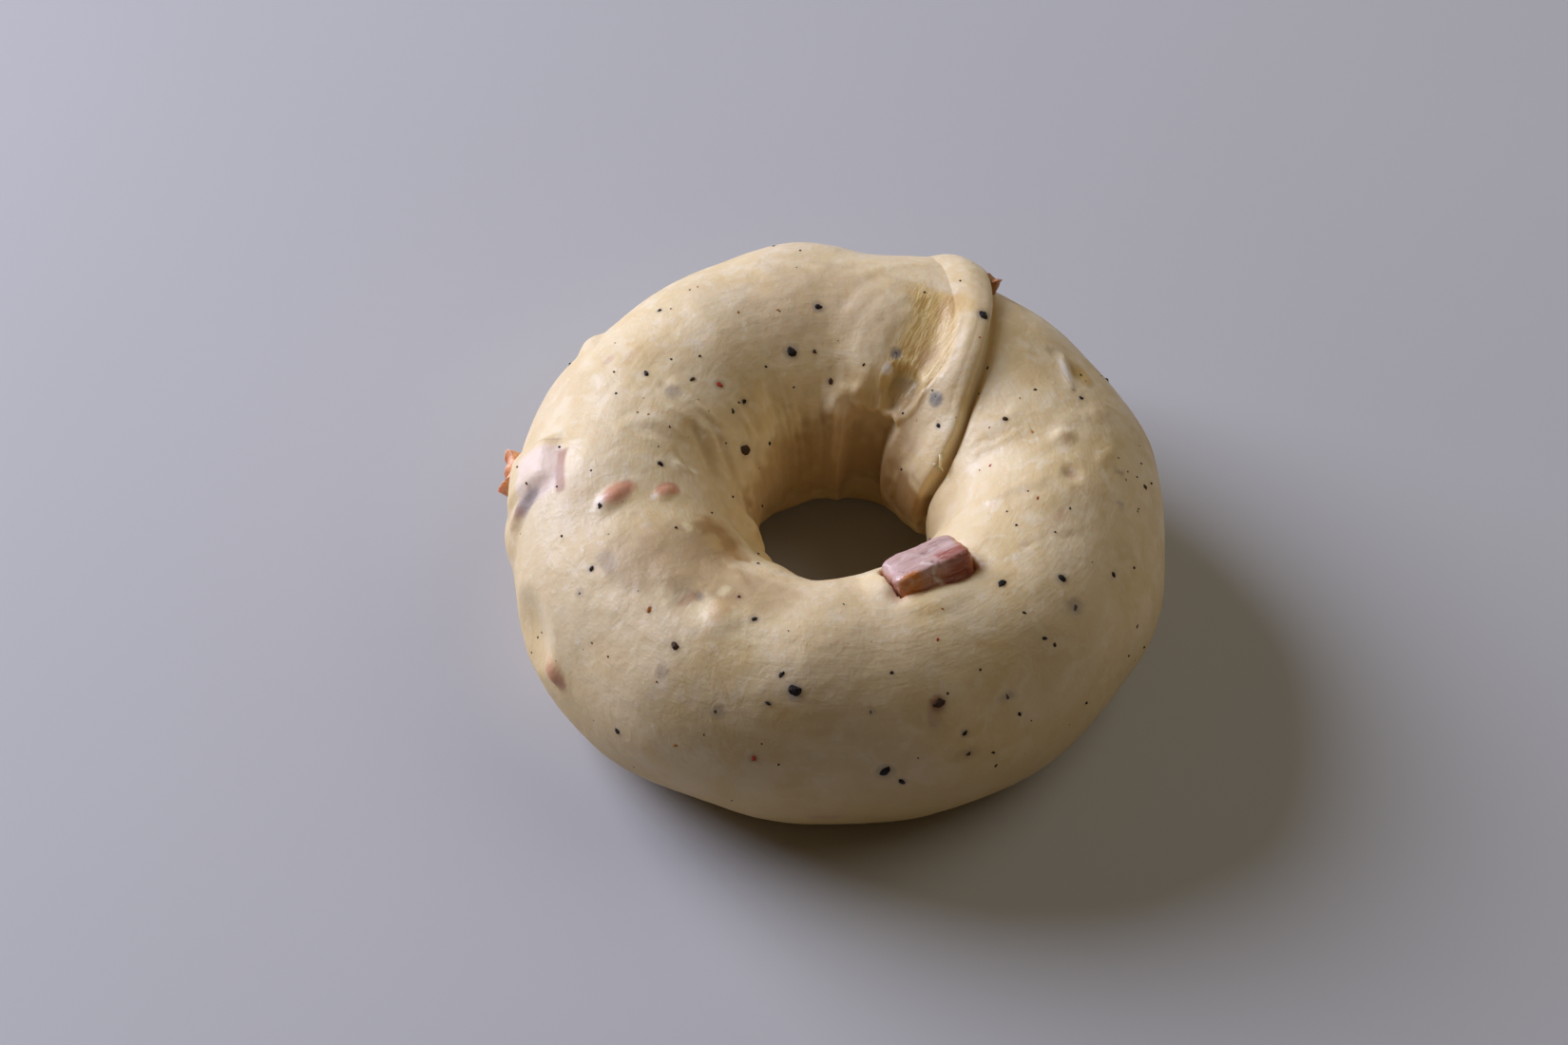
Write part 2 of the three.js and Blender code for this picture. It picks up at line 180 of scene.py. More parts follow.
@dataclass(frozen=True)
class Lump:
    """A raised or sunk place on the rope.

    Args:
        at: theta and phi of its middle.
        size: half its length along the ring and half its width across it.
        turn: degrees that it is turned in the skin.
        height: how far its middle stands out, or in where it is negative.
        square: whether it is as flat-topped as a dice.
    """

    at: Place
    size: Place
    turn: float
    height: float
    square: bool = False


@dataclass(frozen=True)
class Stroke:
    """A fold or groove drawn along a line of places.

    Args:
        places: theta and phi of each point of the line.
        width: half its width.
        height: how far it stands out, or in where it is negative.
    """

    places: tuple[Place, ...]
    width: float
    height: float


@dataclass(frozen=True)
class Stain:
    """A patch of colour in the skin. Most are the dough's own colours; some are painted shade, and some a
    painted highlight.

    Args:
        at: its middle, as a pixel of the photograph, or as theta and phi.
        size: half its length along the ring and half its width across it.
        turn: degrees that it is turned in the skin.
        tint: its colour.
        strength: how much of the dough's own colour it hides.
        square: whether it has the corners of a dice.
    """

    at: Pixel | Place
    size: Place
    turn: float
    tint: Tint
    strength: float
    square: bool = False


@dataclass(frozen=True)
class Speck:
    """A grain, by the photograph's pixel that it shows at.

    Args:
        x: pixels from the left of the 1650 pixel wide picture.
        y: pixels from the top.
        width: how wide it is.
        grain: what it is made of.
    """

    x: float
    y: float
    width: float
    grain: Grain


# The lumps and dents that the solid has too
RELIEF = [
    Lump((177, 143), (4.6, 4.8), 0, 1.5, square=True),
    Lump((185, 151), (1.6, 3.2), -12, 0.9),
    Lump((184.5, 167), (5.0, 4.8), 0, 1.0),
    Lump((205, 168), (6.5, 6.0), 0, -1.5),
    Lump((194, 98), (2.0, 3.3), -28, 0.7),
    Lump((195, 73), (1.4, 2.2), -28, 0.4),
    Lump((214, 171), (2.6, 1.9), 20, 0.9),
    Lump((144, 142), (3.0, 2.2), 0, 0.9),
    Lump((98, 130), (12.0, 6.0), 0, 0.4),
    Lump((29, 117), (3.4, 1.0), 10, 0.4),
    Lump((27, 121), (2.4, 1.6), 10, -0.4),
    Lump((354, 98), (1.8, 1.8), 0, -0.6),
    Lump((7, 96), (1.6, 2.2), 0, 0.6),
    Lump((206, 10), (7.0, 4.0), 0, 1.8),
    Lump((232, 97), (5.0, 3.0), 25, -0.5),
    Lump((225, 92), (4.5, 3.0), 0, 0.5),
    Lump((241, 98), (3.0, 3.0), 0, 0.4),
    Lump((88, 34), (2.4, 4.5), -10, 0.6),
    Lump((89, 8), (3.0, 9.0), 0, 0.4),
    Lump((32, -36), (8.0, 6.0), 0, -1.5),
    Lump((285, 62), (2.4, 5.0), 0, 0.5),
    Lump((300, 88), (6.4, 2.6), 6, 0.3),
    Lump((325, 66), (2.2, 4.0), 0, 0.4),
]

# Finer folds and grooves, too small for the solid
STROKES = [
    Stroke(((10.5, 54), (9.5, 63), (11, 74)), 0.7, 0.14),
    Stroke(((12, 56), (11.5, 65), (13, 78)), 0.5, -0.12),
    Stroke(((12, 98), (13, 110), (15, 122)), 0.7, 0.20),
    Stroke(((328, 90), (334, 97), (337, 105)), 0.45, -0.30),
    Stroke(((330, 92), (335, 99), (339, 106)), 0.5, 0.22),
    Stroke(((4, 84), (6.5, 95)), 0.7, 0.12),
    Stroke(((0, 112), (4.5, 120)), 0.8, 0.25),
    Stroke(((31.5, 119), (28.5, 114), (23, 111.5)), 0.45, 0.28),
    Stroke(((86, 72), (81, 86), (73, 99)), 1.2, 0.10),
    Stroke(((89, 74), (84, 88), (77, 101)), 0.9, -0.08),
    Stroke(((80, 66), (76, 78), (70, 90)), 1.1, 0.09),
    Stroke(((77, 70), (72, 80), (68, 88)), 0.8, -0.07),
    Stroke(((82, 100), (75, 110), (68, 121)), 0.9, 0.14),
    Stroke(((150.5, 80), (155, 52), (168, 30), (170, 8)), 0.6, 0.24),
    Stroke(((153, 84), (157, 56), (171, 33), (174, 12)), 0.5, -0.26),
    Stroke(((155, 72), (153.5, 48), (158, 40)), 0.6, 0.20),
    Stroke(((160, 75), (161, 55), (174, 40), (180, 20)), 0.6, 0.20),
    Stroke(((166, 80), (168, 62), (180, 50), (190, 34)), 0.7, 0.15),
    Stroke(((174, 84), (176, 70), (186, 58), (197, 40)), 0.6, 0.14),
    Stroke(((170, 84), (172, 70), (184, 56), (193, 42)), 0.5, -0.14),
    Stroke(((182, 66), (183.5, 56), (190, 50)), 0.6, 0.24),
    Stroke(((172, 95), (169, 90), (167, 84)), 1.0, 0.18),
    Stroke(((186, 24), (196, 14), (208, 6)), 0.8, 0.40),
    Stroke(((192, 34), (202, 22), (214, 12)), 0.6, -0.28),
    Stroke(((78, 42.5), (83, 41), (87.5, 38.5), (90.5, 33)), 1.0, 0.6),
    Stroke(((85.5, 32), (86.0, 24), (87, 12)), 0.55, -0.35),
    Stroke(((90.5, 30), (90.5, 20), (91, 8)), 1.2, 0.15),
    Stroke(((22.5, 50), (19, 45), (14.5, 36)), 0.4, 0.22),
    Stroke(((8, 48), (12, 60), (14, 75)), 0.6, 0.08),
    Stroke(((14, 50), (16, 64), (19, 80)), 0.6, 0.08),
    Stroke(((230, 60), (238, 72), (246, 80)), 0.8, 0.15),
    Stroke(((340, 55), (346, 68), (350, 84)), 0.8, 0.15),
    Stroke(((120, 60), (126, 80), (128, 100)), 0.9, 0.15),
    Stroke(((213, 116), (222, 122), (232, 121)), 0.9, 0.12),
    Stroke(((98, 45), (100, 25), (101, 5)), 0.8, 0.10),
    Stroke(((106, 50), (107, 30), (108, 6)), 0.7, -0.10),
    Stroke(((113, 48), (115, 26), (116, 4)), 0.8, 0.12),
    Stroke(((122, 46), (125, 24), (127, 2)), 0.7, -0.12),
    Stroke(((130, 50), (134, 28), (137, 4)), 0.8, 0.16),
    Stroke(((140, 52), (145, 30), (149, 6)), 0.6, 0.20),
]

WINDOW = Lump((56.5, 49.5), (2.7, 3.4), -12, -0.35)
WINDOW_RIM = 0.2
BLISTER = Lump((39.5, 2.5), (0.8, 1.7), 15, 0.3)

STAINS = [
    Stain(Pixel(952, 414), (2.9, 3.3), -12, Tint.WINDOW, 0.8),
    # Painted shade: the lower pocket darkened brown where it lies in shade
    Stain((69, 12), (9.0, 13.0), 0, Tint.POCKET, 0.6),
    Stain((70, 44), (7.0, 3.0), 0, Tint.AMBER, 0.35),
    Stain(Pixel(985, 345), (1.8, 5.4), 0, Tint.AMBER, 0.65),
    Stain(Pixel(1003, 318), (4.0, 1.8), 0, Tint.AMBER, 0.6),
    Stain(Pixel(948, 512), (1.0, 2.2), 0, Tint.PALE, 0.35),
    Stain(Pixel(820, 250), (9.0, 3.0), 0, Tint.AMBER, 0.25),
    Stain(Pixel(800, 640), (9.0, 3.6), 0, Tint.AMBER, 0.18),
    Stain(Pixel(735, 700), (7.0, 4.0), 20, Tint.AMBER, 0.15),
    Stain(Pixel(880, 560), (8.0, 3.0), 0, Tint.AMBER, 0.15),
    Stain(Pixel(750, 600), (5.0, 3.2), 0, Tint.RUST, 0.35),
    Stain(Pixel(995, 323), (1.4, 2.2), 0, Tint.RUST, 0.6),
    Stain(Pixel(977, 375), (1.4, 2.2), 0, Tint.RUST, 0.65),
    # Painted highlight on the window's upper rim
    Stain(Pixel(934, 387), (0.7, 0.9), 0, Tint.PALE, 0.95),
    # Painted highlight along the curled edge of the fold
    Stain(Pixel(885, 425), (1.4, 1.6), 0, Tint.PALE, 0.2),
    Stain(Pixel(558, 497), (4.0, 3.4), 0, Tint.LILAC, 0.65, square=True),
    Stain(Pixel(588, 496), (3.5, 0.85), 0, Tint.STRIP, 0.75, square=True),
    Stain(Pixel(555, 533), (1.2, 2.6), -12, Tint.GREY, 0.75),
    Stain(Pixel(546, 549), (0.8, 1.2), -12, Tint.PINK, 0.4),
    Stain(Pixel(567, 465), (0.5, 2.6), 0, Tint.STRIP, 0.4),
    Stain(Pixel(650, 518), (1.7, 2.7), -28, Tint.FLESH, 0.9),
    Stain(Pixel(629, 528), (0.6, 0.7), 0, Tint.PALE, 0.6),
    Stain(Pixel(701, 515), (1.3, 2.0), -28, Tint.FLESH, 0.85),
    Stain(Pixel(687, 524), (0.6, 0.7), 0, Tint.PALE, 0.5),
    Stain(Pixel(580, 714), (2.8, 1.6), 25, Tint.FLESH, 0.75),
    Stain(Pixel(624, 353), (1.9, 1.6), 0, Tint.FLESH, 0.75),
    Stain(Pixel(1133, 390), (2.5, 1.9), 10, Tint.AMBER, 1.0),
    Stain(Pixel(1120, 385), (2.4, 0.6), 10, Tint.PALE, 0.85),
    Stain(Pixel(1128, 498), (1.2, 1.6), 0, Tint.ROSE, 0.4),
    Stain(Pixel(1124, 456), (0.9, 1.3), 0, Tint.ROSE, 0.35),
    Stain(Pixel(1104, 365), (1.2, 1.6), 0, Tint.OLIVE, 0.6),
    Stain(Pixel(1179, 493), (0.9, 1.4), 20, Tint.BROWN, 0.55),
    Stain(Pixel(986, 416), (1.5, 1.2), 30, Tint.SLATE, 0.75),
    Stain(Pixel(943, 371), (0.9, 0.8), 0, Tint.SLATE, 0.6),
    Stain(Pixel(894, 686), (3.2, 2.6), 0, Tint.GREY, 0.14),
    Stain(Pixel(760, 640), (1.6, 3.2), 0, Tint.RUST, 0.5),
    Stain(Pixel(762, 566), (5.2, 3.8), 0, Tint.RUST, 0.55),
    # Partly the brown of thin translucent skin, partly painted shade at the hole's near left edge
    Stain(Pixel(755, 571), (4.6, 4.0), 0, Tint.TAN, 0.75),
    Stain(Pixel(752, 573), (1.8, 1.6), 0, Tint.AMBER, 0.5),
    # Painted shade in the soft hollow round the hole's lower left
    Stain(Pixel(722, 588), (8.0, 6.0), 0, Tint.UMBER, 0.65),
    Stain(Pixel(668, 598), (6.0, 4.5), 0, Tint.UMBER, 0.65),
    Stain(Pixel(796, 622), (7.0, 4.5), 0, Tint.UMBER, 0.65),
    # Painted shade on the far side of the ring, left of the flap
    Stain(Pixel(862, 312), (12.0, 8.0), 0, Tint.UMBER, 0.5),
    # Painted shade on the hole's far wall
    Stain(Pixel(838, 490), (18.0, 8.0), 0, Tint.TAN, 0.6),
    # Painted shade on the lower end of the lip, by the hole
    Stain(Pixel(950, 522), (4.4, 3.8), 0, Tint.TAN, 0.8),
    Stain(Pixel(762, 622), (0.8, 1.2), 0, Tint.CREAM, 0.6),
    Stain(Pixel(724, 556), (1.0, 0.9), 0, Tint.CREAM, 0.8),
    # Painted shade too, a small patch below the hole's left edge
    Stain(Pixel(710, 640), (2.4, 1.2), 20, Tint.UMBER, 0.3),
    Stain(Pixel(722, 633), (0.9, 1.6), 0, Tint.ROSE, 0.4),
    Stain(Pixel(637, 590), (2.0, 1.4), 0, Tint.GREY, 0.3),
    Stain(Pixel(850, 668), (3.4, 2.4), 0, Tint.GREY, 0.12),
    Stain(Pixel(988, 752), (1.0, 2.0), 0, Tint.ROSE, 0.4),
    Stain(Pixel(1018, 795), (2.6, 1.2), 0, Tint.BROWN, 0.3),
    Stain(Pixel(838, 762), (6.0, 2.6), 0, Tint.AMBER, 0.3),
    Stain(Pixel(720, 770), (7.0, 3.0), 0, Tint.AMBER, 0.25),
    Stain(Pixel(640, 700), (5.0, 3.0), 0, Tint.AMBER, 0.25),
    Stain(Pixel(985, 642), (1.4, 0.9), 0, Tint.AMBER, 0.4),
    Stain(Pixel(663, 376), (2.4, 0.9), 0, Tint.RUST, 0.4),
    Stain(Pixel(637, 381), (1.2, 0.8), 0, Tint.ROSE, 0.4),
    Stain(Pixel(827, 753), (1.4, 1.1), 0, Tint.RUST, 0.35),
    Stain(Pixel(870, 862), (3.0, 1.2), 0, Tint.ROSE, 0.4),
    Stain(Pixel(987, 741), (1.0, 1.2), 0, Tint.PINK, 0.6),
    Stain(Pixel(1118, 542), (1.6, 0.8), 0, Tint.ROSE, 0.4),
    Stain(Pixel(600, 310), (2.2, 1.4), 0, Tint.ROSE, 0.25),
    Stain((100, 122), (16.0, 6.0), 0, Tint.OLIVE, 0.12),
    Stain((310, 130), (20.0, 9.0), 0, Tint.OLIVE, 0.12),
    Stain((20, 130), (9.0, 7.0), 0, Tint.OLIVE, 0.12),
    Stain((88, 152), (5.0, 2.2), 20, Tint.ROSE, 0.35),
    Stain((62, 165), (1.6, 1.2), 0, Tint.PINK, 0.5),
    Stain((120, 168), (2.4, 1.2), 0, Tint.RUST, 0.35),
    Stain((12, 160), (3.0, 1.6), 10, Tint.ROSE, 0.35),
]


def smoothstep(value: np.ndarray, low: float | np.ndarray, high: float) -> np.ndarray:
    """A smooth rise from 0 at low to 1 at high."""
    t = np.clip((value - low) / (high - low), 0, 1)
    return t * t * (3 - 2 * t)


def along(points: list[Place], x: np.ndarray) -> np.ndarray:
    """A smooth curve through points, flat in slope at turning points and held level past the ends.

    Args:
        points: x and y of each point, x rising.
        x: where to read the curve.

    Returns:
        The curve's y at each x.
    """
    px, py = np.array(points, float).T
    steps = np.diff(py) / np.diff(px)
    slopes = np.zeros(len(px))
    before, after = steps[:-1], steps[1:]
    together = before * after > 0
    slopes[1:-1][together] = 2 * before[together] * after[together] / (before + after)[together]
    x = np.clip(x, px[0], px[-1])
    i = np.clip(np.searchsorted(px, x, side="right") - 1, 0, len(px) - 2)
    span = px[i + 1] - px[i]
    t = (x - px[i]) / span
    h00, h10, h11 = (1 + 2 * t) * (1 - t) ** 2, t * (1 - t) ** 2, t * t * (1 - t)
    return h00 * py[i] + (1 - h00) * py[i + 1] + span * (h10 * slopes[i] - h11 * slopes[i + 1])


def seam_line(points: list[Place], phi: np.ndarray) -> np.ndarray:
    """theta of a seam line at phi. Under the ring it runs straight from side to side.

    Args:
        points: the line's corners.
        phi: degrees round the rope, from the hole over the crest to the outside.

    Returns:
        theta of the line for each phi.
    """
    end = 180 + CONTACT
    outer, inner = along(points, np.array(end)), along(points, np.array(-CONTACT))
    below = outer + (inner - outer) * (phi - end) / (180 - 2 * CONTACT)
    return np.where(phi <= end, along(points, phi), below)


def lattice_noise(points: np.ndarray, seed: int) -> np.ndarray:
    """Smooth noise between -1 and 1.

    Args:
        points: N x 3 places, one lattice cell per unit.
        seed: which noise.

    Returns:
        N values.
    """
    cell = np.floor(points).astype(np.int64)
    part = points - cell
    ease = part * part * (3 - 2 * part)
    total = np.zeros(len(points))
    for corner in np.ndindex(2, 2, 2):
        at = cell + corner
        mixed = at[:, 0] * 73856093 ^ at[:, 1] * 19349663 ^ at[:, 2] * 83492791 ^ seed * 2654435761
        mixed = (mixed ^ (mixed >> 13)) * 1274126177 & 0x7FFFFFFF
        value = (mixed ^ (mixed >> 16)) % 65536 / 32767.5 - 1
        weight = np.prod(np.where(np.array(corner) == 1, ease, 1 - ease), axis=1)
        total += weight * value
    return total


def on_tube(theta: np.ndarray, phi: np.ndarray) -> np.ndarray:
    """Places on a plain tube, N x 3, for theta and phi.

    Args:
        theta: degrees round the ring.
        phi: degrees round the rope, from the hole over the crest to the outside.

    Returns:
        The places, in millimetres.
    """
    turn = np.radians(theta)
    flat = [TUBE_RADIUS * np.cos(turn), TUBE_RADIUS * np.sin(turn), phi * TUBE_PER_DEGREE]
    return np.stack(flat, axis=-1).reshape(-1, 3)


class Ring:
    """The rope of dough: where its skin lies at theta and phi."""

    def section(self, theta: np.ndarray) -> tuple[np.ndarray, np.ndarray, np.ndarray]:
        """The rope at theta: its middle radius, half its width, and its height.

        Args:
            theta: degrees round the ring.

        Returns:
            The three measures, in millimetres.
        """
        place = np.mod(theta / SECTION_STEP, len(SECTIONS))
        i = np.floor(place).astype(int)
        t = (place - i)[..., None]
        p0, p1, p2, p3 = (SECTIONS[(i + k) % len(SECTIONS)] for k in (-1, 0, 1, 2))
        m1, m2 = (p2 - p0) / 2, (p3 - p1) / 2
        value = ((2 * p1 - 2 * p2 + m1 + m2) * t + (-3 * p1 + 3 * p2 - 2 * m1 - m2)) * t * t + m1 * t + p1
        inner, outer, height = value[..., 0], value[..., 1], value[..., 2]
        return (inner + outer) / 2, (outer - inner) / 2, height

    def rope(self, theta: np.ndarray, phi: np.ndarray) -> np.ndarray:
        """The plain rope's surface, without the seam or any lump.

        Args:
            theta: degrees round the ring.
            phi: degrees round the rope, from the hole over the crest to the outside.

        Returns:
            The places, in millimetres.
        """
        middle, half, height = self.section(theta)
        widest = WIDEST_AT * height
        up = np.sin(np.radians(phi))
        z = widest + np.where(up >= 0, height - widest, SAG * widest) * up
        r = middle - half * np.cos(np.radians(phi))
        turn = np.radians(theta)
        flat = np.stack([r * np.cos(turn), r * np.sin(turn), np.maximum(z, 0)], axis=-1)
        return flat + RING_CENTRE

    def axes(self, theta: np.ndarray, phi: np.ndarray) -> tuple[np.ndarray, np.ndarray, np.ndarray]:
        """Directions along the ring, across it towards the outside, and out of the skin.

        Args:
            theta: degrees round the ring.
            phi: degrees round the rope, from the hole over the crest to the outside.

        Returns:
            The three directions.
        """
        step = 0.5
        across = self.rope(theta, phi + step) - self.rope(theta, phi - step)
        across /= np.linalg.norm(across, axis=-1, keepdims=True) + 1e-12
        turn = np.radians(theta)
        ring = np.stack([-np.sin(turn), np.cos(turn), np.zeros_like(turn)], axis=-1)
        out = -np.cross(ring, across)
        return ring, across, out / (np.linalg.norm(out, axis=-1, keepdims=True) + 1e-12)

    def offset(self, at: tuple, theta: np.ndarray, phi: np.ndarray) -> tuple[np.ndarray, np.ndarray]:
        """Distance over the skin from a place, along and across the ring.

        Args:
            at: theta and phi of the place.
            theta: degrees round the ring.
            phi: degrees round the rope, from the hole over the crest to the outside.

        Returns:
            The two distances, in millimetres.
        """
        start, level = np.asarray(at[0], float), np.asarray(at[1], float)
        middle, half, _ = self.section(start)
        radius = middle - half * np.cos(np.radians(level))
        turn = np.mod(theta - start + 180, 360) - 180
        return np.radians(turn) * radius, np.radians(phi - level) * half

    def spread(self, at: Place, size: Place, turn: float, theta: np.ndarray, phi: np.ndarray) -> tuple:
        """Distances from a place as shares of a size, in directions turned by turn degrees.

        Args:
            at: theta and phi of the place.
            size: the size along and across.
            turn: the turn, in degrees.
            theta: degrees round the ring.
            phi: degrees round the rope, from the hole over the crest to the outside.

        Returns:
            The two shares.
        """
        x, y = self.offset(at, theta, phi)
        c, s = math.cos(math.radians(turn)), math.sin(math.radians(turn))
        return np.abs(x * c + y * s) / size[0], np.abs(y * c - x * s) / size[1]

    def lump(self, lump: Lump, theta: np.ndarray, phi: np.ndarray) -> np.ndarray:
        """Height of one lump.

        Args:
            lump: the lump.
            theta: degrees round the ring.
            phi: degrees round the rope, from the hole over the crest to the outside.

        Returns:
            The height, in millimetres.
        """
        u, v = self.spread(lump.at, lump.size, lump.turn, theta, phi)
        if lump.square:
            return lump.height * (1 - smoothstep(u, 0.6, 1.25)) * (1 - smoothstep(v, 0.6, 1.25))
        return lump.height * np.maximum(0, 1 - u * u - v * v) ** 1.5

    def from_line(self, places: tuple | list, theta: np.ndarray, phi: np.ndarray) -> np.ndarray:
        """Distance from a line of places.

        Args:
            places: theta and phi of the line's corners.
            theta: degrees round the ring.
            phi: degrees round the rope, from the hole over the crest to the outside.

        Returns:
            The distance, in millimetres.
        """
        nearest = np.full(theta.shape, 1e9)
        for start, end in zip(places[:-1], places[1:]):
            ex, ey = self.offset(start, np.array(float(end[0])), np.array(float(end[1])))
            x, y = self.offset(start, theta, phi)
            t = np.clip((x * ex + y * ey) / (ex * ex + ey * ey), 0, 1)
            nearest = np.minimum(nearest, np.hypot(x - t * ex, y - t * ey))
        return nearest

    def seam(self, theta: np.ndarray, phi: np.ndarray) -> tuple[np.ndarray, np.ndarray]:
        """Height of the wrapped end over the rope, and how far its skin leans over the crease.

        Args:
            theta: degrees round the ring.
            phi: degrees round the rope, from the hole over the crest to the outside.

        Returns:
            The height and the lean, in millimetres.
        """
        lip = seam_line(LIP, phi)
        s, _ = self.offset((lip, phi), theta, phi)
        near = (theta <= FLAP_END) & (s >= -CREASE_START)
        rise = along(FLAP_RISE, phi)
        some = np.minimum(1, rise)
        crease = -CREASE_DEPTH * np.exp(-((s / CREASE_WIDTH) ** 2)) * some
        ahead = crease * smoothstep(s, -CREASE_START, -CREASE_START / 2)
        behind = np.clip(s / LIP_RADIUS, 0, 1)
        edge = np.sqrt(1 - (1 - behind) ** 2)
        roll_edge, hollow_edge = seam_line(ROLL_EDGE, phi), seam_line(HOLLOW_EDGE, phi)
        on_roll = np.clip((theta - lip) / (roll_edge - lip), 0, 1)
        in_hollow = np.clip((theta - roll_edge) / (hollow_edge - roll_edge), 0, 1)
        bulge = ROLL_BULGE * some * np.sin(np.pi * on_roll)
        depth = along(HOLLOW_DEPTH, phi) * smoothstep(in_hollow, 0, 0.3)
        depth = depth * (1 - smoothstep(in_hollow, along(HOLLOW_SLOPE, phi), 1))
        fade = np.clip((theta - lip) / (seam_line(FADE_END, phi) - lip), 0, 1)
        fading = 1 - fade * fade * (3 - 2 * fade)
        over = (rise * fading + bulge) * edge + crease * (1 - edge) - depth
        lean = LIP_OVERHANG * some * np.sin(np.pi * behind)
        return np.where(near, np.where(s <= 0, ahead, over), 0), np.where(near & (s > 0), lean, 0)

    def skin(self, theta: np.ndarray, phi: np.ndarray, fine: np.ndarray | float = 0.0) -> np.ndarray:
        """The finished skin. Nothing lifts the part of it that lies on the table.

        Args:
            theta: angles round the ring.
            phi: angles round the section.
            fine: height of what is too small for the solid.

        Returns:
            Places in the part's frame.
        """
        point = self.rope(theta, phi)
        ring, _, out = self.axes(theta, phi)
        height, lean = self.seam(theta, phi)
        for lump in RELIEF:
            height = height + self.lump(lump, theta, phi)
        crease = np.maximum(0, 1 - self.from_line(CREASE_LINE, theta, phi) / SOFT_CREASE_WIDTH) ** 2
        t, p = np.radians(theta), np.radians(phi)
        waves = sum(size * np.sin(round_ * t + across * p + start) for round_, across, start, size in WAVES)
        height = height - SOFT_CREASE_DEPTH * crease + waves + fine
        standing = smoothstep(point[..., 2], 0, LEVEL_BELOW)[..., None]
        return point + out * standing * height[..., None] - ring * standing * lean[..., None]


class PhotoCamera:
    """The camera that took the photograph, which was 1650 pixels wide and 1100 high."""

    WIDTH, HEIGHT = 1650, 1100
    LENS, SENSOR = 85.0, 36.0
    ELEVATION = math.radians(52.0)
    DISTANCE = 505.28
    AIM = RING_CENTRE + np.array([-6.7, 1.5, 16.0])

    def __init__(self) -> None:
        """Works out where the camera stands and how it is turned."""
        c, s = math.cos(self.ELEVATION), math.sin(self.ELEVATION)
        self.forward = np.array([0.0, c, -s])
        self.right = np.array([1.0, 0.0, 0.0])
        self.up = np.array([0.0, s, c])
        self.eye = self.AIM - self.DISTANCE * self.forward

    def ray(self, x: float, y: float) -> np.ndarray:
        """Direction in which a pixel of the photograph looks.

        Args:
            x: pixels from the left.
            y: pixels from the top.

        Returns:
            The direction.
        """
        pitch = self.SENSOR / self.WIDTH
        side = (x - self.WIDTH / 2) * pitch
        rise = (self.HEIGHT / 2 - y) * pitch
        way = self.forward * self.LENS + self.right * side + self.up * rise
        return way / np.linalg.norm(way)

    def build(self) -> bpy.types.Object:
        """Makes the camera and looks through it.

        Returns:
            The camera.
        """
        data = bpy.data.cameras.new("photo_camera")
        data.lens = self.LENS
        data.sensor_width = self.SENSOR
        data.dof.use_dof = False
        data.clip_start, data.clip_end = 0.02, 20.0
        camera = bpy.data.objects.new("photo_camera", data)
        turned = Matrix((self.right, self.up, -self.forward)).transposed().to_4x4()
        camera.matrix_world = Matrix.Translation(Vector(self.eye) * MM) @ turned
        bpy.context.scene.collection.objects.link(camera)
        bpy.context.scene.camera = camera
        return camera


class Socket:
    """An output of a node, which arithmetic joins to further nodes."""

    def __init__(self, tree: bpy.types.NodeTree, output: bpy.types.NodeSocket) -> None:
        """Wraps output, a socket of tree."""
        self.tree = tree
        self.output = output

    def _math(self, operation: str, first: "Socket | float", second: "Socket | float") -> "Socket":
        """A Math node on two values.

        Args:
            operation: what it does.
            first: its first value.
            second: its second value.

        Returns:
            Its output.
        """
        node = self.tree.nodes.new("ShaderNodeMath")
        node.operation = operation
        for place, value in zip(node.inputs, (first, second)):
            feed(self.tree, place, value)
        return Socket(self.tree, node.outputs[0])

    def __add__(self, other: "Socket | float") -> "Socket":
        """self + other."""
        return self._math("ADD", self, other)

    __radd__ = __add__

    def __sub__(self, other: "Socket | float") -> "Socket":
        """self - other."""
        return self._math("SUBTRACT", self, other)

    def __rsub__(self, other: float) -> "Socket":
        """other - self."""
        return self._math("SUBTRACT", other, self)

    def __mul__(self, other: "Socket | float") -> "Socket":
        """self * other."""
        return self._math("MULTIPLY", self, other)

    __rmul__ = __mul__

    def clamp(self) -> "Socket":
        """The value held between 0 and 1."""
        return self.span(0.0, 1.0, 0.0, 1.0)

    def span(self, low: float, high: float, to_low: float = 0.0, to_high: float = 1.0) -> "Socket":
        """The value moved from low..high to to_low..to_high, smoothly, and held there.

        Args:
            low: start of the range.
            high: end of the range.
            to_low: what low becomes.
            to_high: what high becomes.

        Returns:
            The moved value.
        """
        node = self.tree.nodes.new("ShaderNodeMapRange")
        node.interpolation_type = "SMOOTHSTEP"
        for place, value in zip(node.inputs[1:5], (low, high, to_low, to_high)):
            place.default_value = value
        self.tree.links.new(self.output, node.inputs[0])
        return Socket(self.tree, node.outputs[0])


def feed(tree: bpy.types.NodeTree, place: bpy.types.NodeSocket, value: Socket | Colour | float) -> None:
    """Joins a value to a node's input, or sets the input to it.

    Args:
        tree: the node's tree.
        place: the input.
        value: another node's output, a colour, or a number.
    """
    if isinstance(value, Socket):
        tree.links.new(value.output, place)
    else:
        place.default_value = (*value, 1.0) if place.type == "RGBA" else value


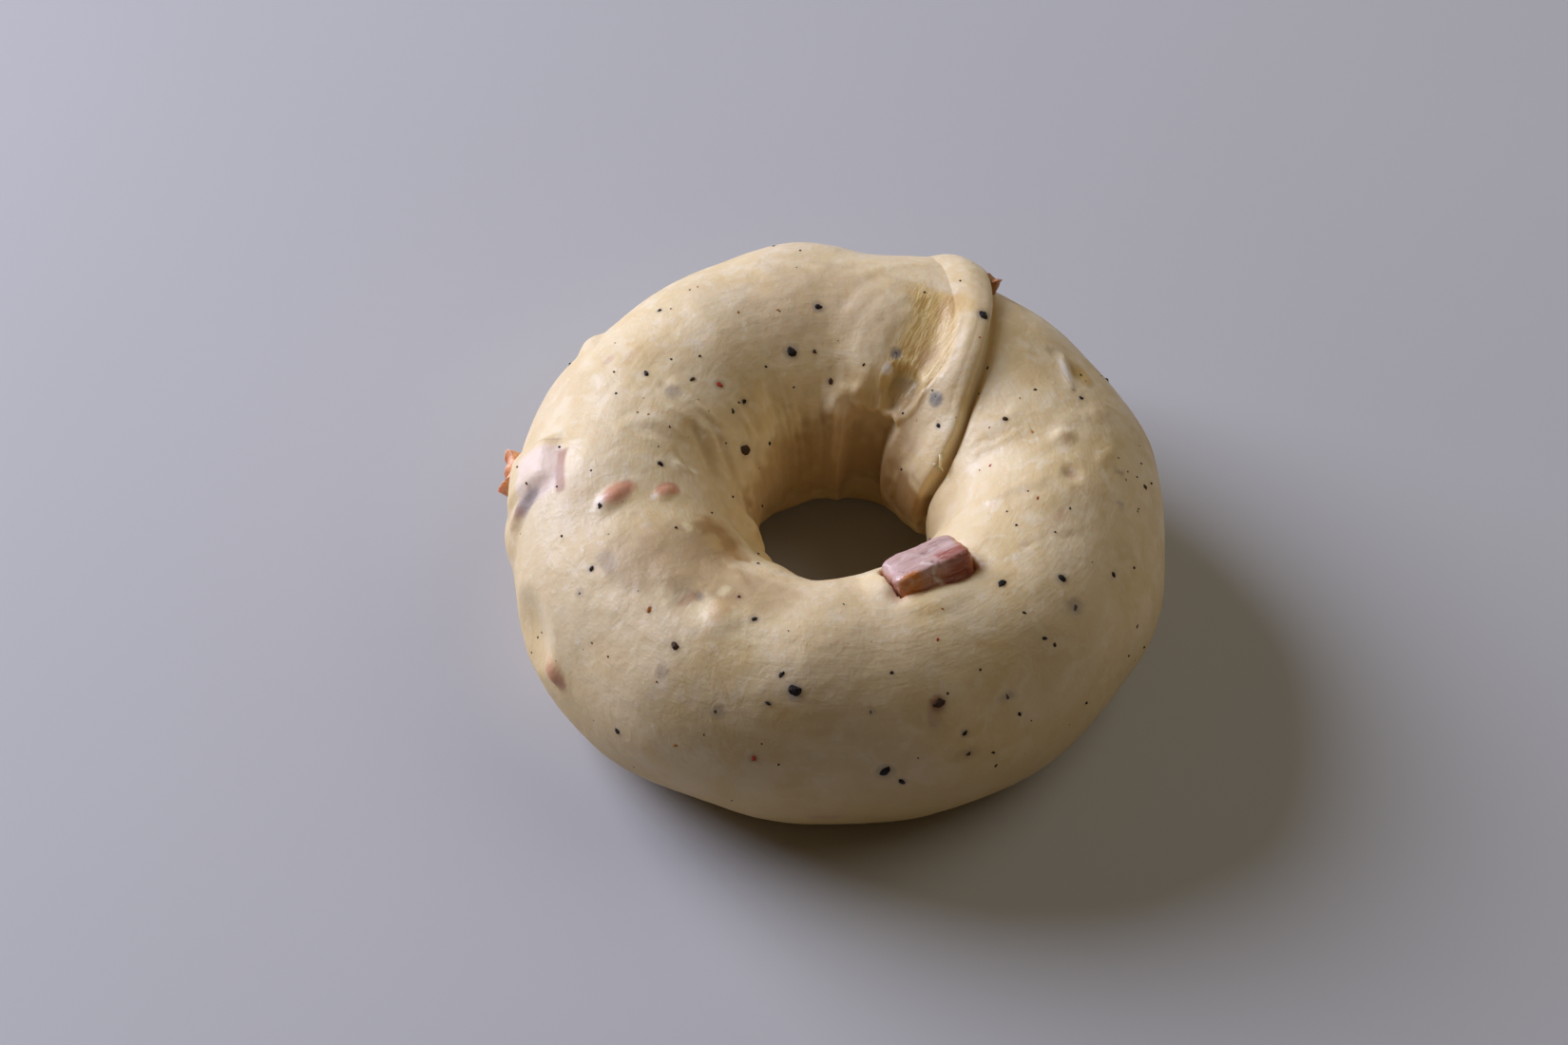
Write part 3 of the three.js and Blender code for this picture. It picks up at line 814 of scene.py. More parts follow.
class Finish:
    """A procedural material, joined up from nodes."""

    def __init__(self, name: str, roughness: float, **constants: float | tuple) -> None:
        """Makes the material.

        Args:
            name: the material's name.
            roughness: how rough it is where nothing else says so.
            constants: further sockets of the shader, by name with underscores for spaces.
        """
        self.material = bpy.data.materials.new(name)
        self.material.use_nodes = True
        self.tree = self.material.node_tree
        self.shader = self.tree.nodes["Principled BSDF"]
        self.shader.inputs["Roughness"].default_value = roughness
        for key, value in constants.items():
            self.shader.inputs[key.replace("_", " ")].default_value = value

    def node(self, kind: str, output: int | str = 0, settings: dict | None = None, **inputs) -> Socket:
        """Any node.

        Args:
            kind: the node's type.
            output: which output to return.
            settings: the node's own properties.
            inputs: its inputs, by name with underscores for spaces.

        Returns:
            The output.
        """
        node = self.tree.nodes.new(kind)
        for key, value in (settings or {}).items():
            setattr(node, key, value)
        for key, value in inputs.items():
            feed(self.tree, node.inputs[key.replace("_", " ")], value)
        return Socket(self.tree, node.outputs[output])

    def places(self) -> Socket:
        """Object coordinates, in metres."""
        return self.node("ShaderNodeTexCoord", "Object")

    def attribute(self, name: str, output: str = "Fac") -> Socket:
        """A value stored on the mesh."""
        return self.node("ShaderNodeAttribute", output, {"attribute_name": name})

    def stretched(self, vector: Socket, x: float, y: float, z: float) -> Socket:
        """A vector with its three parts multiplied.

        Args:
            vector: the vector.
            x: factor of its x.
            y: factor of its y.
            z: factor of its z.

        Returns:
            The new vector.
        """
        node = self.tree.nodes.new("ShaderNodeVectorMath")
        node.operation = "MULTIPLY"
        self.tree.links.new(vector.output, node.inputs[0])
        node.inputs[1].default_value = (x, y, z)
        return Socket(self.tree, node.outputs[0])

    def noise(self, vector: Socket, scale: float, detail: float = 3.0, distortion: float = 0.0) -> Socket:
        """Cloudy noise round 0.5."""
        return self.node("ShaderNodeTexNoise", 0, None, Vector=vector, Scale=scale, Detail=detail,
                         Distortion=distortion)

    def mix(self, share: Socket, first: Socket | Colour, second: Socket | Colour) -> Socket:
        """Two colours mixed by share.

        Args:
            share: how much of the second colour.
            first: the first colour.
            second: the second colour.

        Returns:
            The mixed colour.
        """
        node = self.tree.nodes.new("ShaderNodeMix")
        node.data_type = "RGBA"
        for place, value in zip(MIX_INPUTS, (share, first, second)):
            feed(self.tree, node.inputs[place], value)
        return Socket(self.tree, node.outputs[MIX_OUTPUT])

    def bump(self, height: Socket, strength: float, distance: float, normal: Socket | None = None) -> Socket:
        """A normal tilted by height, in metres at distance.

        Args:
            height: the height.
            strength: how strongly it tilts.
            distance: metres that a height of 1 stands for.
            normal: a normal to start from.

        Returns:
            The tilted normal.
        """
        inputs = {"Height": height, "Strength": strength, "Distance": distance}
        if normal:
            inputs["Normal"] = normal
        return self.node("ShaderNodeBump", 0, None, **inputs)

    def give(self, name: str, value: Socket) -> None:
        """Joins value to the shader's input of that name."""
        self.tree.links.new(value.output, self.shader.inputs[name])


def dough_finish() -> bpy.types.Material:
    """Raw dough: cream, satin and a little translucent, moist and yellower where it is torn, with painted
    shade that darkens it towards the bottom.
    """
    f = Finish("raw_dough", 0.42, Subsurface_Weight=0.35, Subsurface_Radius=(1.0, 0.62, 0.36),
               Subsurface_Scale=0.0022, IOR=1.42, Specular_IOR_Level=0.45, Coat_Roughness=0.12)
    places = f.places()
    skin = f.attribute("skin", "Vector")
    clouds = f.noise(places, 160.0, 4.0, 0.4)
    broad = f.noise(places, 55.0, 3.0, 0.3)
    flecks = f.noise(places, 900.0, 2.0)
    fibres = f.noise(f.stretched(skin, 0.12, 0.12, 1.0), 2.2, 3.0, 0.6)
    strands = f.noise(f.stretched(skin, 1.0, 1.0, 0.22), 2.0, 4.0, 1.6)
    torn = f.attribute("torn")
    stain = f.attribute("stain", "Color")
    stain_and_painted_light = f.attribute("stain_and_painted_light")
    base = f.mix(clouds.span(0.36, 0.64), (0.84, 0.695, 0.425), (0.75, 0.580, 0.300))
    base = f.mix(broad.span(0.40, 0.62, 0.0, 0.45), base, (0.77, 0.635, 0.43))
    blotches = f.noise(places, 300.0, 3.0, 0.5)
    base = f.mix(blotches.span(0.52, 0.68, 0.0, 0.4), base, (0.92, 0.82, 0.62))
    base = f.mix(flecks.span(0.58, 0.74, 0.0, 0.35), base, (0.90, 0.82, 0.68))
    base = f.mix(fibres.span(0.58, 0.74, 0.0, 0.12), base, (0.88, 0.79, 0.62))
    # Painted shade: the colour turns darker and browner towards the bottom of the ring, where it lies in
    # shade
    low_shade = f.node("ShaderNodeSeparateXYZ", "Z", None, Vector=places).span(0.002, 0.034, 0.95, 0.0)
    base = f.mix(low_shade, base, (0.67, 0.47, 0.19))
    moist = f.mix(strands.span(0.40, 0.62), (0.66, 0.44, 0.14), (0.84, 0.65, 0.31))
    base = f.mix((torn * 1.25).clamp(), base, moist)
    # Stains, painted shade and painted highlights laid over the dough's colour
    base = f.mix((stain_and_painted_light + (blotches - 0.5) * 1.6 * stain_and_painted_light * (1 - stain_and_painted_light)).clamp(), base, stain)
    f.give("Base Color", base)
    f.give("Roughness", clouds.span(0.3, 0.7, 0.40, 0.56) - torn * 0.04)
    f.give("Coat Weight", torn * 0.08 + flecks.span(0.55, 0.75, 0.04, 0.18))
    fine = f.bump(flecks + f.noise(places, 2600.0, 1.0) * 0.5, 0.35, 0.00014)
    soft = f.bump(f.noise(places, 330.0, 3.0, 0.3) + fibres * 0.2, 0.5, 0.00045, fine)
    f.give("Normal", f.bump(strands * torn + strands * 0.10, 0.5, 0.0004, soft))
    return f.material


def bacon_finish() -> bpy.types.Material:
    """Cured meat: lilac-pink lean with white fat and a darker smoked side."""
    f = Finish("cured_bacon", 0.35, Subsurface_Weight=0.25, Subsurface_Radius=(1.0, 0.35, 0.25),
               Subsurface_Scale=0.0012, IOR=1.42, Coat_Roughness=0.08)
    places = f.places()
    colour = f.attribute("stain", "Color")
    grain = f.noise(f.stretched(f.attribute("cut", "Vector"), 0.25, 1.0, 1.0), 1.6, 4.0, 0.8)
    marble = f.noise(places, 520.0, 4.0, 0.6)
    base = f.mix(grain.span(0.42, 0.66, 0.0, 0.35), colour, (0.60, 0.40, 0.35))
    base = f.mix(marble.span(0.60, 0.72, 0.0, 0.4), base, (0.78, 0.60, 0.52))
    f.give("Base Color", f.mix(marble.span(0.44, 0.30, 0.0, 0.5), base, (0.20, 0.06, 0.05)))
    f.give("Roughness", marble.span(0.3, 0.7, 0.28, 0.5))
    f.give("Coat Weight", grain.span(0.4, 0.6, 0.15, 0.4))
    wet = f.bump(marble, 0.5, 0.0003)
    f.give("Normal", f.bump(grain, 0.6, 0.0004, wet))
    return f.material


def rind_finish(name: str, fat: Colour) -> bpy.types.Material:
    """Smoked rind with patches of fat and a greasy shine.

    Args:
        name: the material's name.
        fat: colour of the patches.

    Returns:
        The material.
    """
    f = Finish(name, 0.38, Subsurface_Weight=0.4, Subsurface_Radius=(1.0, 0.4, 0.15),
               Subsurface_Scale=0.0015, IOR=1.44, Coat_Roughness=0.1)
    places = f.places()
    patches = f.noise(places, 420.0, 4.0, 0.7)
    specks = f.noise(places, 1700.0, 2.0)
    colour = f.attribute("stain", "Color")
    base = f.mix(patches.span(0.42, 0.62, 0.0, 0.55), colour, fat)
    f.give("Base Color", f.mix(specks.span(0.56, 0.70, 0.0, 0.5), base, (0.50, 0.16, 0.04)))
    f.give("Roughness", patches.span(0.3, 0.7, 0.3, 0.5))
    f.give("Coat Weight", specks.span(0.4, 0.6, 0.1, 0.3))
    f.give("Normal", f.bump(patches + specks * 0.4, 0.7, 0.0005))
    return f.material


def pepper_finish() -> bpy.types.Material:
    """Cracked pepper: dark, rough, each grain in its own tone."""
    f = Finish("cracked_pepper", 0.7, IOR=1.45, Specular_IOR_Level=0.25)
    places = f.places()
    grit = f.noise(places, 2400.0, 3.0)
    base = f.mix(grit.span(0.45, 0.70, 0.0, 0.35), f.attribute("stain", "Color"), (0.16, 0.12, 0.08))
    f.give("Base Color", base)
    f.give("Roughness", grit.span(0.3, 0.7, 0.6, 0.85))
    f.give("Normal", f.bump(grit, 0.7, 0.00025))
    return f.material


def floor_finish() -> bpy.types.Material:
    """A plain pale worktop."""
    f = Finish("plain_floor", 0.55)
    cloud = f.noise(f.places(), 9.0, 2.0)
    f.give("Base Color", f.mix(cloud, (0.52, 0.53, 0.532), (0.56, 0.57, 0.572)))
    return f.material


def make_mesh(name: str, points: np.ndarray, faces: list | np.ndarray, values: dict,
              smooth: bool = True) -> bpy.types.Object:
    """A mesh object at the origin.

    Args:
        name: its name.
        points: N x 3 places in millimetres.
        faces: corners of each face.
        values: attributes by name: N values, N x 3 vectors, or N x 4 colours.
        smooth: whether its faces are shaded smooth.

    Returns:
        The object, linked into the scene.
    """
    mesh = bpy.data.meshes.new(name)
    mesh.from_pydata((points * MM).tolist(), [], [list(map(int, face)) for face in faces])
    kinds = {1: ("FLOAT", "value"), 2: ("FLOAT_VECTOR", "vector"), 4: ("FLOAT_COLOR", "color")}
    for key, value in values.items():
        value = np.asarray(value, np.float32)
        kind, slot = kinds[1 if value.ndim == 1 else 4 if value.shape[1] == 4 else 2]
        layer = mesh.attributes.new(key, kind, "POINT")
        layer.data.foreach_set(slot, value.ravel())
    mesh.polygons.foreach_set("use_smooth", [smooth] * len(mesh.polygons))
    mesh.update()
    piece = bpy.data.objects.new(name, mesh)
    bpy.context.scene.collection.objects.link(piece)
    return piece


def boxed(points: np.ndarray) -> np.ndarray:
    """Points in millimetres, held inside the solid's box."""
    return np.clip(points, *BOX)


def face_outwards(piece: bpy.types.Object) -> None:
    """Turns the faces to face out of the closed piece.

    Args:
        piece: the piece.
    """
    shape = bmesh.new()
    shape.from_mesh(piece.data)
    bmesh.ops.recalc_face_normals(shape, faces=shape.faces[:])
    shape.to_mesh(piece.data)
    shape.free()


def settle(piece: bpy.types.Object, material: bpy.types.Material, slot: Slot, *nodes: str) -> None:
    """Finishes a piece: its material, its body, and the solids that it stands for.

    Args:
        piece: the piece.
        material: its finish.
        slot: its material slot; not used.
        nodes: names of the solids.
    """
    piece.data.materials.clear()
    piece.data.materials.append(material)
    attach(piece, "root")
    if nodes:
        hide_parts(*nodes)
    log.info("%s: %d faces, for %s", piece.name, len(piece.data.polygons), nodes or "itself")


def opaque(colours: np.ndarray) -> np.ndarray:
    """Colours, N x 3, with an alpha of 1."""
    return np.column_stack([colours, np.ones(len(colours))])


def plain(colour: Colour, count: int) -> np.ndarray:
    """One opaque colour for each of count points."""
    return opaque(np.tile(colour, (count, 1)))


def take(shape: bmesh.types.BMesh) -> tuple[np.ndarray, list[list[int]]]:
    """The points and faces of a bmesh, which is freed.

    Args:
        shape: the bmesh.

    Returns:
        The points, and the corners of each face.
    """
    points = np.array([v.co for v in shape.verts])
    faces = [[v.index for v in face.verts] for face in shape.faces]
    shape.free()
    return points, faces


def tube(rings: int, sides: int, start: int = 0) -> list[list[int]]:
    """Faces of a closed tube.

    Args:
        rings: how many rings of points it has. The middles of its two ends follow them.
        sides: points in a ring.
        start: number of its first point.

    Returns:
        The corners of each face.
    """
    faces = []
    end, middle = start + (rings - 1) * sides, start + rings * sides
    for i in range(sides):
        j = (i + 1) % sides
        for a in range(start, end, sides):
            faces.append([a + i, a + j, a + sides + j, a + sides + i])
        faces.append([middle, start + j, start + i])
        faces.append([middle + 1, end + i, end + j])
    return faces


@dataclass
class Seat:
    """A piece's place on the ring: x against the ring's turn, y across it, z out of the skin.

    Args:
        ring: the ring.
        at: theta and phi.
        turn: degrees that the piece is turned in the skin.
        proud: how far its top stands out.
        depth: its full height.
    """

    ring: Ring
    at: Place
    turn: float
    proud: float
    depth: float = 0.0

    def __post_init__(self) -> None:
        """Works out the directions."""
        theta, phi = np.array(float(self.at[0])), np.array(float(self.at[1]))
        ring, across, out = self.ring.axes(theta, phi)
        c, s = math.cos(math.radians(self.turn)), math.sin(math.radians(self.turn))
        self.x = -ring * c - across * s
        self.y = -ring * s + across * c
        self.z = out
        self.place = self.ring.rope(theta, phi) + out * (self.proud - self.depth / 2)

    def out(self, local: np.ndarray) -> np.ndarray:
        """Moves local places to the part's frame."""
        return self.place + local[:, :1] * self.x + local[:, 1:2] * self.y + local[:, 2:] * self.z

    def into(self, places: np.ndarray) -> np.ndarray:
        """Moves places of the part's frame to local ones."""
        away = places - self.place
        return np.stack([away @ self.x, away @ self.y, away @ self.z], axis=-1)


@dataclass
class RimDice:
    """The dice of bacon on the near side of the hole, in a pocket that the dough wraps round.

    Args:
        ring: the ring.
        at: theta and phi.
        turn: degrees that it is turned in the skin.
        proud: how far its top stands out.
        size: its length, width and height.
        squareness: how sharp its corners are.
        uneven: how far its sides bulge, as a share.
        tuck: how far its sides reach into the dough round it.
        steps: cuts along each edge.
    """

    ring: Ring
    at: Place = (302.9, 66.5)
    turn: float = 6.0
    proud: float = 2.4
    size: tuple[float, float, float] = (11.0, 6.8, 6.4)
    squareness: float = 7.0
    uneven: float = 0.03
    tuck: float = 0.25
    steps: int = 30

    def __post_init__(self) -> None:
        """Places it."""
        self.seat = Seat(self.ring, self.at, self.turn, self.proud, self.size[2])

    def outside(self, places: np.ndarray) -> np.ndarray:
        """Distance from the dice's upright sides, negative within them.

        Args:
            places: N x 3 places in millimetres.

        Returns:
            The distance, in millimetres.
        """
        local = np.abs(self.seat.into(places))
        half = np.array(self.size[:2]) / 2 - self.tuck
        power = self.squareness
        share = ((local[:, 0] / half[0]) ** power + (local[:, 1] / half[1]) ** power) ** (1 / power)
        return (share - 1) * half.min()

    def build(self, material: bpy.types.Material) -> bpy.types.Object:
        """Makes the dice: a soft-cornered block with grain along its length.

        Args:
            material: its finish.

        Returns:
            The piece.
        """
        shape = bmesh.new()
        bmesh.ops.create_cube(shape, size=2.0)
        bmesh.ops.subdivide_edges(shape, edges=shape.edges[:], cuts=self.steps, use_grid_fill=True)
        way, faces = take(shape)
        way = np.tan(way * 0.65) / math.tan(0.65)
        way /= np.linalg.norm(way, axis=1, keepdims=True)
        x, y, z = way.T
        half = np.array(self.size) / 2
        stretch = (np.abs(way / half) ** self.squareness).sum(axis=1) ** (-1 / self.squareness)
        uneven = 1 + self.uneven * (np.sin(4 * x + 2 * y) + np.sin(5 * y - 3 * z + 1))
        local = way * (stretch * uneven)[:, None]
        fine = 0.10 * lattice_noise(local * (0.35, 1.6, 1.6), 11) + 0.06 * lattice_noise(local * 2.6, 12)
        local += way * (fine - 0.08)[:, None]
        values = {"stain": self.colours(local), "cut": local}
        piece = make_mesh("bacon_dice", boxed(self.seat.out(local)), faces, values)
        settle(piece, material, Slot.BACON, "bacon_dice_rim")
        return piece

    def colours(self, local: np.ndarray) -> np.ndarray:
        """Lean, fat, smoked end and dark side, by place in the dice.

        Args:
            local: N x 3 places in the dice's own directions.

        Returns:
            N x 4 colours.
        """
        lean, fat, lilac = (0.62, 0.30, 0.19), (0.86, 0.74, 0.66), (0.62, 0.42, 0.37)
        smoked, dark, red = (0.68, 0.26, 0.055), (0.34, 0.07, 0.04), (0.36, 0.085, 0.05)
        x, y, z = (local / (np.array(self.size) / 2)).T
        wander = 0.25 * lattice_noise(local * 0.55, 21)
        colour = np.tile(lean, (len(local), 1))

        def blend(new: Colour, share: np.ndarray) -> None:
            """Lays a colour over those so far."""
            nonlocal colour
            colour = colour + (np.array(new) - colour) * np.clip(share, 0, 1)[:, None]

        blend(lilac, smoothstep(z + 0.2 * wander, 0.45, 0.85))
        blend(fat, np.exp(-(((x - 0.02 + 0.9 * wander) / 0.07) ** 2)) * smoothstep(y, 0.2, 0.7) * 0.9)
        blend(fat, np.exp(-(((y + 0.2 + 1.5 * wander) / 0.16) ** 2)) * smoothstep(z, 0.5, 0.9) * 0.35)
        blend(red, smoothstep(-x + wander, 0.05, 0.35) * smoothstep(y + 0.6 * wander, 0.0, 0.5) * 0.85)
        blend(smoked, smoothstep(-x + 0.5 * wander, 0.80, 0.96) * 0.85)
        blend(dark, smoothstep(-x + wander, 0.84, 0.98) * smoothstep(y + wander, 0.3, 0.6) * 0.8)
        blend(smoked, smoothstep(x + wander, 0.25, 0.60) * smoothstep(y + 0.5 * wander, 0.55, 0.90) * 0.95)
        return opaque(colour)


@dataclass
class Chip:
    """A ragged chip of rind, which stands out of the dough edge on.

    Args:
        ring: the ring.
        name: the piece's name.
        node: the solid that it stands for.
        at: theta and phi.
        proud: how far it is moved out of the skin.
        outline: the solid's outline: along the ring, and out of the skin.
        thickness: how thick it is, without its bevels.
        deep: colour of its lower part.
        pale: colour of its upper part.
        bevel: how far its rounded edges add to its thickness on each side.
    """

    ring: Ring
    name: str
    node: str
    at: Place
    proud: float
    outline: tuple[Place, ...]
    thickness: float
    deep: Colour
    pale: Colour
    bevel: float = 0.3

    def build(self, material: bpy.types.Material) -> bpy.types.Object:
        """Makes the chip: the outline with torn edges, rounded and pitted.

        Args:
            material: its finish.

        Returns:
            The piece.
        """
        edge = self.torn_edge()
        centre = edge.mean(axis=0)
        away = edge - centre
        profile = self.profile()
        layers = []
        for across, shrink in profile:
            inset = centre + away * (1 - shrink / np.linalg.norm(away, axis=1, keepdims=True))
            layers.append(np.column_stack([inset[:, 0], np.full(len(inset), across), inset[:, 1]]))
        ends = [[[centre[0], profile[k][0] + swell, centre[1]]] for k, swell in ((0, -0.05), (-1, 0.05))]
        local = np.vstack([*layers, *ends])
        rough = 0.14 * lattice_noise(local * 1.5, 31) + 0.07 * lattice_noise(local * 4.0, 32)
        local[:, 1] += rough
        share = smoothstep(local[:, 1] + 0.8 * lattice_noise(local * 0.9, 33), -0.9, 0.9)[:, None]
        colour = np.array(self.deep) * share + np.array(self.pale) * (1 - share)
        places = boxed(Seat(self.ring, self.at, 0, self.proud).out(local))
        piece = make_mesh(self.name, places, tube(len(layers), len(edge)), {"stain": opaque(colour)})
        face_outwards(piece)
        settle(piece, material, Slot.RIND, self.node)
        return piece

    def torn_edge(self) -> np.ndarray:
        """The outline, finely divided and a little ragged where it stands out of the skin."""
        corners = np.array(self.outline)
        points = []
        for start, end in zip(corners, np.roll(corners, -1, axis=0)):
            steps = max(2, int(np.linalg.norm(end - start) / 0.18))
            points += [start + (end - start) * k / steps for k in range(steps)]
        edge = np.array(points)
        flat = np.column_stack([edge * 2.4, np.zeros(len(edge))])
        shown = smoothstep(edge[:, 1], -0.6, 0.4)
        edge[:, 1] += 0.12 * lattice_noise(flat, 35) * shown
        edge[:, 0] += 0.10 * lattice_noise(flat, 36) * shown
        return edge

    def profile(self) -> list[Place]:
        """Across the thickness: place, and how far the edge draws in there."""
        half = self.thickness / 2 + self.bevel
        places = np.linspace(-1, 1, 9)
        return [(half * p, 0.42 * abs(p) ** 3 - self.bevel * 0.6) for p in places]


@dataclass
class DoughSkin:
    """The dough itself: the ring's skin with its torn hollow, folds and pockets.

    Args:
        ring: the ring.
        dice: the dice whose pocket is sunk in it.
        seam_columns: columns between the seam's lines, from the crease to the flap's end.
        front_columns: columns before the seam.
        rest_columns: columns after it.
        side_rows: rows round the part of the section that shows.
        base_rows: rows under it.
        specks: each grain of the photograph and where it lies, once the skin is built.
    """

    ring: Ring
    dice: RimDice
    seam_columns: tuple[int, ...] = (16, 16, 34, 58, 46)
    front_columns: int = 70
    rest_columns: int = 196
    side_rows: int = 192
    base_rows: int = 8
    specks: list = field(default_factory=list)

    DICE_REACH = 7.0  # the dice marks no dough further above or below it than this

    def grid(self) -> tuple[np.ndarray, np.ndarray]:
        """theta and phi of every point: close together where the seam is."""
        rows = np.concatenate([
            np.linspace(-CONTACT, 180 + CONTACT, self.side_rows, endpoint=False),
            np.linspace(180 + CONTACT, 360 - CONTACT, self.base_rows, endpoint=False),
        ])
        lip = seam_line(LIP, rows)
        middle, half, _ = self.ring.section(lip)
        degrees = np.degrees(1 / (middle - half * np.cos(np.radians(rows))))
        lines = [np.full_like(rows, -60.0), lip - CREASE_START * degrees, lip, lip + LIP_RADIUS * degrees,
                 seam_line(ROLL_EDGE, rows), seam_line(HOLLOW_EDGE, rows), np.full_like(rows, FLAP_END),
                 np.full_like(rows, 300.0)]
        counts = [self.front_columns, *self.seam_columns, self.rest_columns]
        columns = []
        for count, start, end in zip(counts, lines[:-1], lines[1:]):
            share = np.arange(count) / count
            columns.append(start[:, None] + (end - start)[:, None] * share)
        theta = np.concatenate(columns, axis=1)
        return theta, np.broadcast_to(rows[:, None], theta.shape).copy()

    def hollow_share(self, theta: np.ndarray, phi: np.ndarray) -> np.ndarray:
        """How far a place lies in the torn hollow: 0 outside it and 1 well inside.

        Args:
            theta: degrees round the ring.
            phi: degrees round the rope, from the hole over the crest to the outside.

        Returns:
            The share.
        """
        start, end = seam_line(ROLL_EDGE, phi), seam_line(HOLLOW_EDGE, phi)
        inside = (theta - start) / (end - start)
        across = smoothstep(inside, -0.15, 0.10) * (1 - smoothstep(inside, 0.45, 0.95))
        return across * smoothstep(phi, 30, 40) * (1 - smoothstep(phi, 92, 106))

    def fine(self, theta: np.ndarray, phi: np.ndarray) -> np.ndarray:
        """Height of everything too small for the solid.

        Args:
            theta: degrees round the ring.
            phi: degrees round the rope, from the hole over the crest to the outside.

        Returns:
            The height, in millimetres.
        """
        ring = self.ring
        flow = on_tube(theta, phi)

        def noise(scale: Place, seed: int) -> np.ndarray:
            """Noise with scale[0] cells to the millimetre along the ring, and scale[1] across it."""
            return lattice_noise(flow * (scale[0], scale[0], scale[1]), seed).reshape(theta.shape)

        height = 0.11 * noise((0.24, 0.24), 1) + 0.035 * noise((0.8, 0.8), 2) + 0.02 * noise((0.3, 1.4), 3)
        break_up = 1 + 0.35 * noise((0.4, 0.4), 4)
        for stroke in STROKES:
            distance = ring.from_line(stroke.places, theta, phi)
            height += stroke.height * np.exp(-((distance / stroke.width) ** 2)) * break_up
        torn = self.hollow_share(theta, phi)
        strings = 1 - np.abs(noise((1.2, 0.4), 5))
        shreds = 0.11 * noise((0.9, 0.7), 6) + 0.04 * noise((2.2, 2.0), 10)
        height += torn * (0.05 * (strings ** 3 - 0.35) + shreds)
        height += self.roll_edge_string(theta, phi, noise)
        height += self.window(theta, phi) + ring.lump(BLISTER, theta, phi)
        height += self.pocket_edge(theta, phi, noise)
        inner = (1 - smoothstep(phi, 40, 70)) * smoothstep(theta, 88, 98) * (1 - smoothstep(theta, 165, 185))
        height += inner * 0.09 * noise((0.8, 0.10), 7)
        lip = seam_line(LIP, phi)
        s, _ = ring.offset((lip, phi), theta, phi)
        rise = np.minimum(1, along(FLAP_RISE, phi))
        height -= 0.6 * rise * np.exp(-(((s + 0.35) / 0.5) ** 2))
        return height

    def roll_edge_string(self, theta: np.ndarray, phi: np.ndarray, noise: Noise) -> np.ndarray:
        """The bright torn string along the roll's inner edge.

        Args:
            theta: degrees round the ring.
            phi: degrees round the rope, from the hole over the crest to the outside.
            noise: noise by its scale and seed.

        Returns:
            The height, in millimetres.
        """
        edge = seam_line(ROLL_EDGE, phi)
        s, _ = self.ring.offset((edge, phi), theta, phi)
        shown = smoothstep(phi, 40, 52) * (1 - smoothstep(phi, 90, 104))
        return shown * 0.16 * np.exp(-(((s + 0.5) / 0.7) ** 2)) * (0.8 + 0.8 * noise((1.1, 0.5), 8))

    def window(self, theta: np.ndarray, phi: np.ndarray) -> np.ndarray:
        """The thin sunk oval of skin in the hollow, with its raised rim.

        Args:
            theta: degrees round the ring.
            phi: degrees round the rope, from the hole over the crest to the outside.

        Returns:
            The height, in millimetres.
        """
        u, v = self.ring.spread(WINDOW.at, WINDOW.size, WINDOW.turn, theta, phi)
        r = np.hypot(u, v)
        rim = WINDOW_RIM * np.exp(-(((r - 1.15) / 0.16) ** 2))
        return WINDOW.height * (1 - smoothstep(r, 0.75, 1.0)) + rim

    def pocket_edge(self, theta: np.ndarray, phi: np.ndarray, noise: Noise) -> np.ndarray:
        """The scalloped edge of thin skin over the lower pocket, and the smooth hollow below it.

        Args:
            theta: degrees round the ring.
            phi: degrees round the rope, from the hole over the crest to the outside.
            noise: noise by its scale and seed.

        Returns:
            The height, in millimetres.
        """
        edge = 36.0 + 0.8 * np.sin(np.radians(theta) * 41) + 0.8 * noise((0.5, 0.0), 9)
        start, end = seam_line(ROLL_EDGE, phi), seam_line(HOLLOW_EDGE, phi)
        inside = smoothstep(theta, start[0, 0] - 2, start[0, 0] + 4)
        inside = inside * (1 - smoothstep(theta - end, -5.0, 1.0))
        below = (edge - phi) * TUBE_PER_DEGREE
        ledge = 0.4 * np.exp(-(((below + 0.4) / 0.5) ** 2))
        shade = -0.7 * smoothstep(below, 0.0, 0.6) * (1 - smoothstep(below, 0.8, 6.0))
        return inside * (ledge + shade)

    def pocket(self, places: np.ndarray) -> np.ndarray:
        """Sinks the dough where the dice sits. It rises behind the dice and lies lower in front.

        Args:
            places: N x 3 places in millimetres.

        Returns:
            The moved places.
        """
        flat = places.reshape(-1, 3)
        distance = self.dice.outside(flat)
        local = self.dice.seat.into(flat)
        near = (np.abs(local[:, 2]) < self.DICE_REACH) & (distance < 4)
        depth = self.dice.size[2] - 2.0
        sink = depth * (1 - smoothstep(distance, 0.0, 0.35))
        front = smoothstep(local[:, 1], 1.0, 3.0)
        height = 0.25 - 0.55 * front + 0.25 * lattice_noise(flat * 0.6, 41)
        wrap = height * np.exp(-(((distance - 0.5) / 0.9) ** 2)) * (distance > 0)
        move = np.where(near, wrap - sink, 0)
        return (flat + self.dice.seat.z * move[:, None]).reshape(places.shape)

    def shown(self, photo: PhotoCamera, pixel: Pixel | Speck) -> tuple[Vector | None, int | None]:
        """The place, and the face of the skin, that a pixel of the photograph shows.

        Args:
            photo: the photograph's camera.
            pixel: the pixel, or a grain with its pixel.

        Returns:
            The place and the face, or None twice.
        """
        hit, _, face, _ = self.tree.ray_cast(Vector(photo.eye), Vector(photo.ray(pixel.x, pixel.y)))
        if hit is None:
            log.warning("no dough shows at %s, %s", pixel.x, pixel.y)
        return hit, face

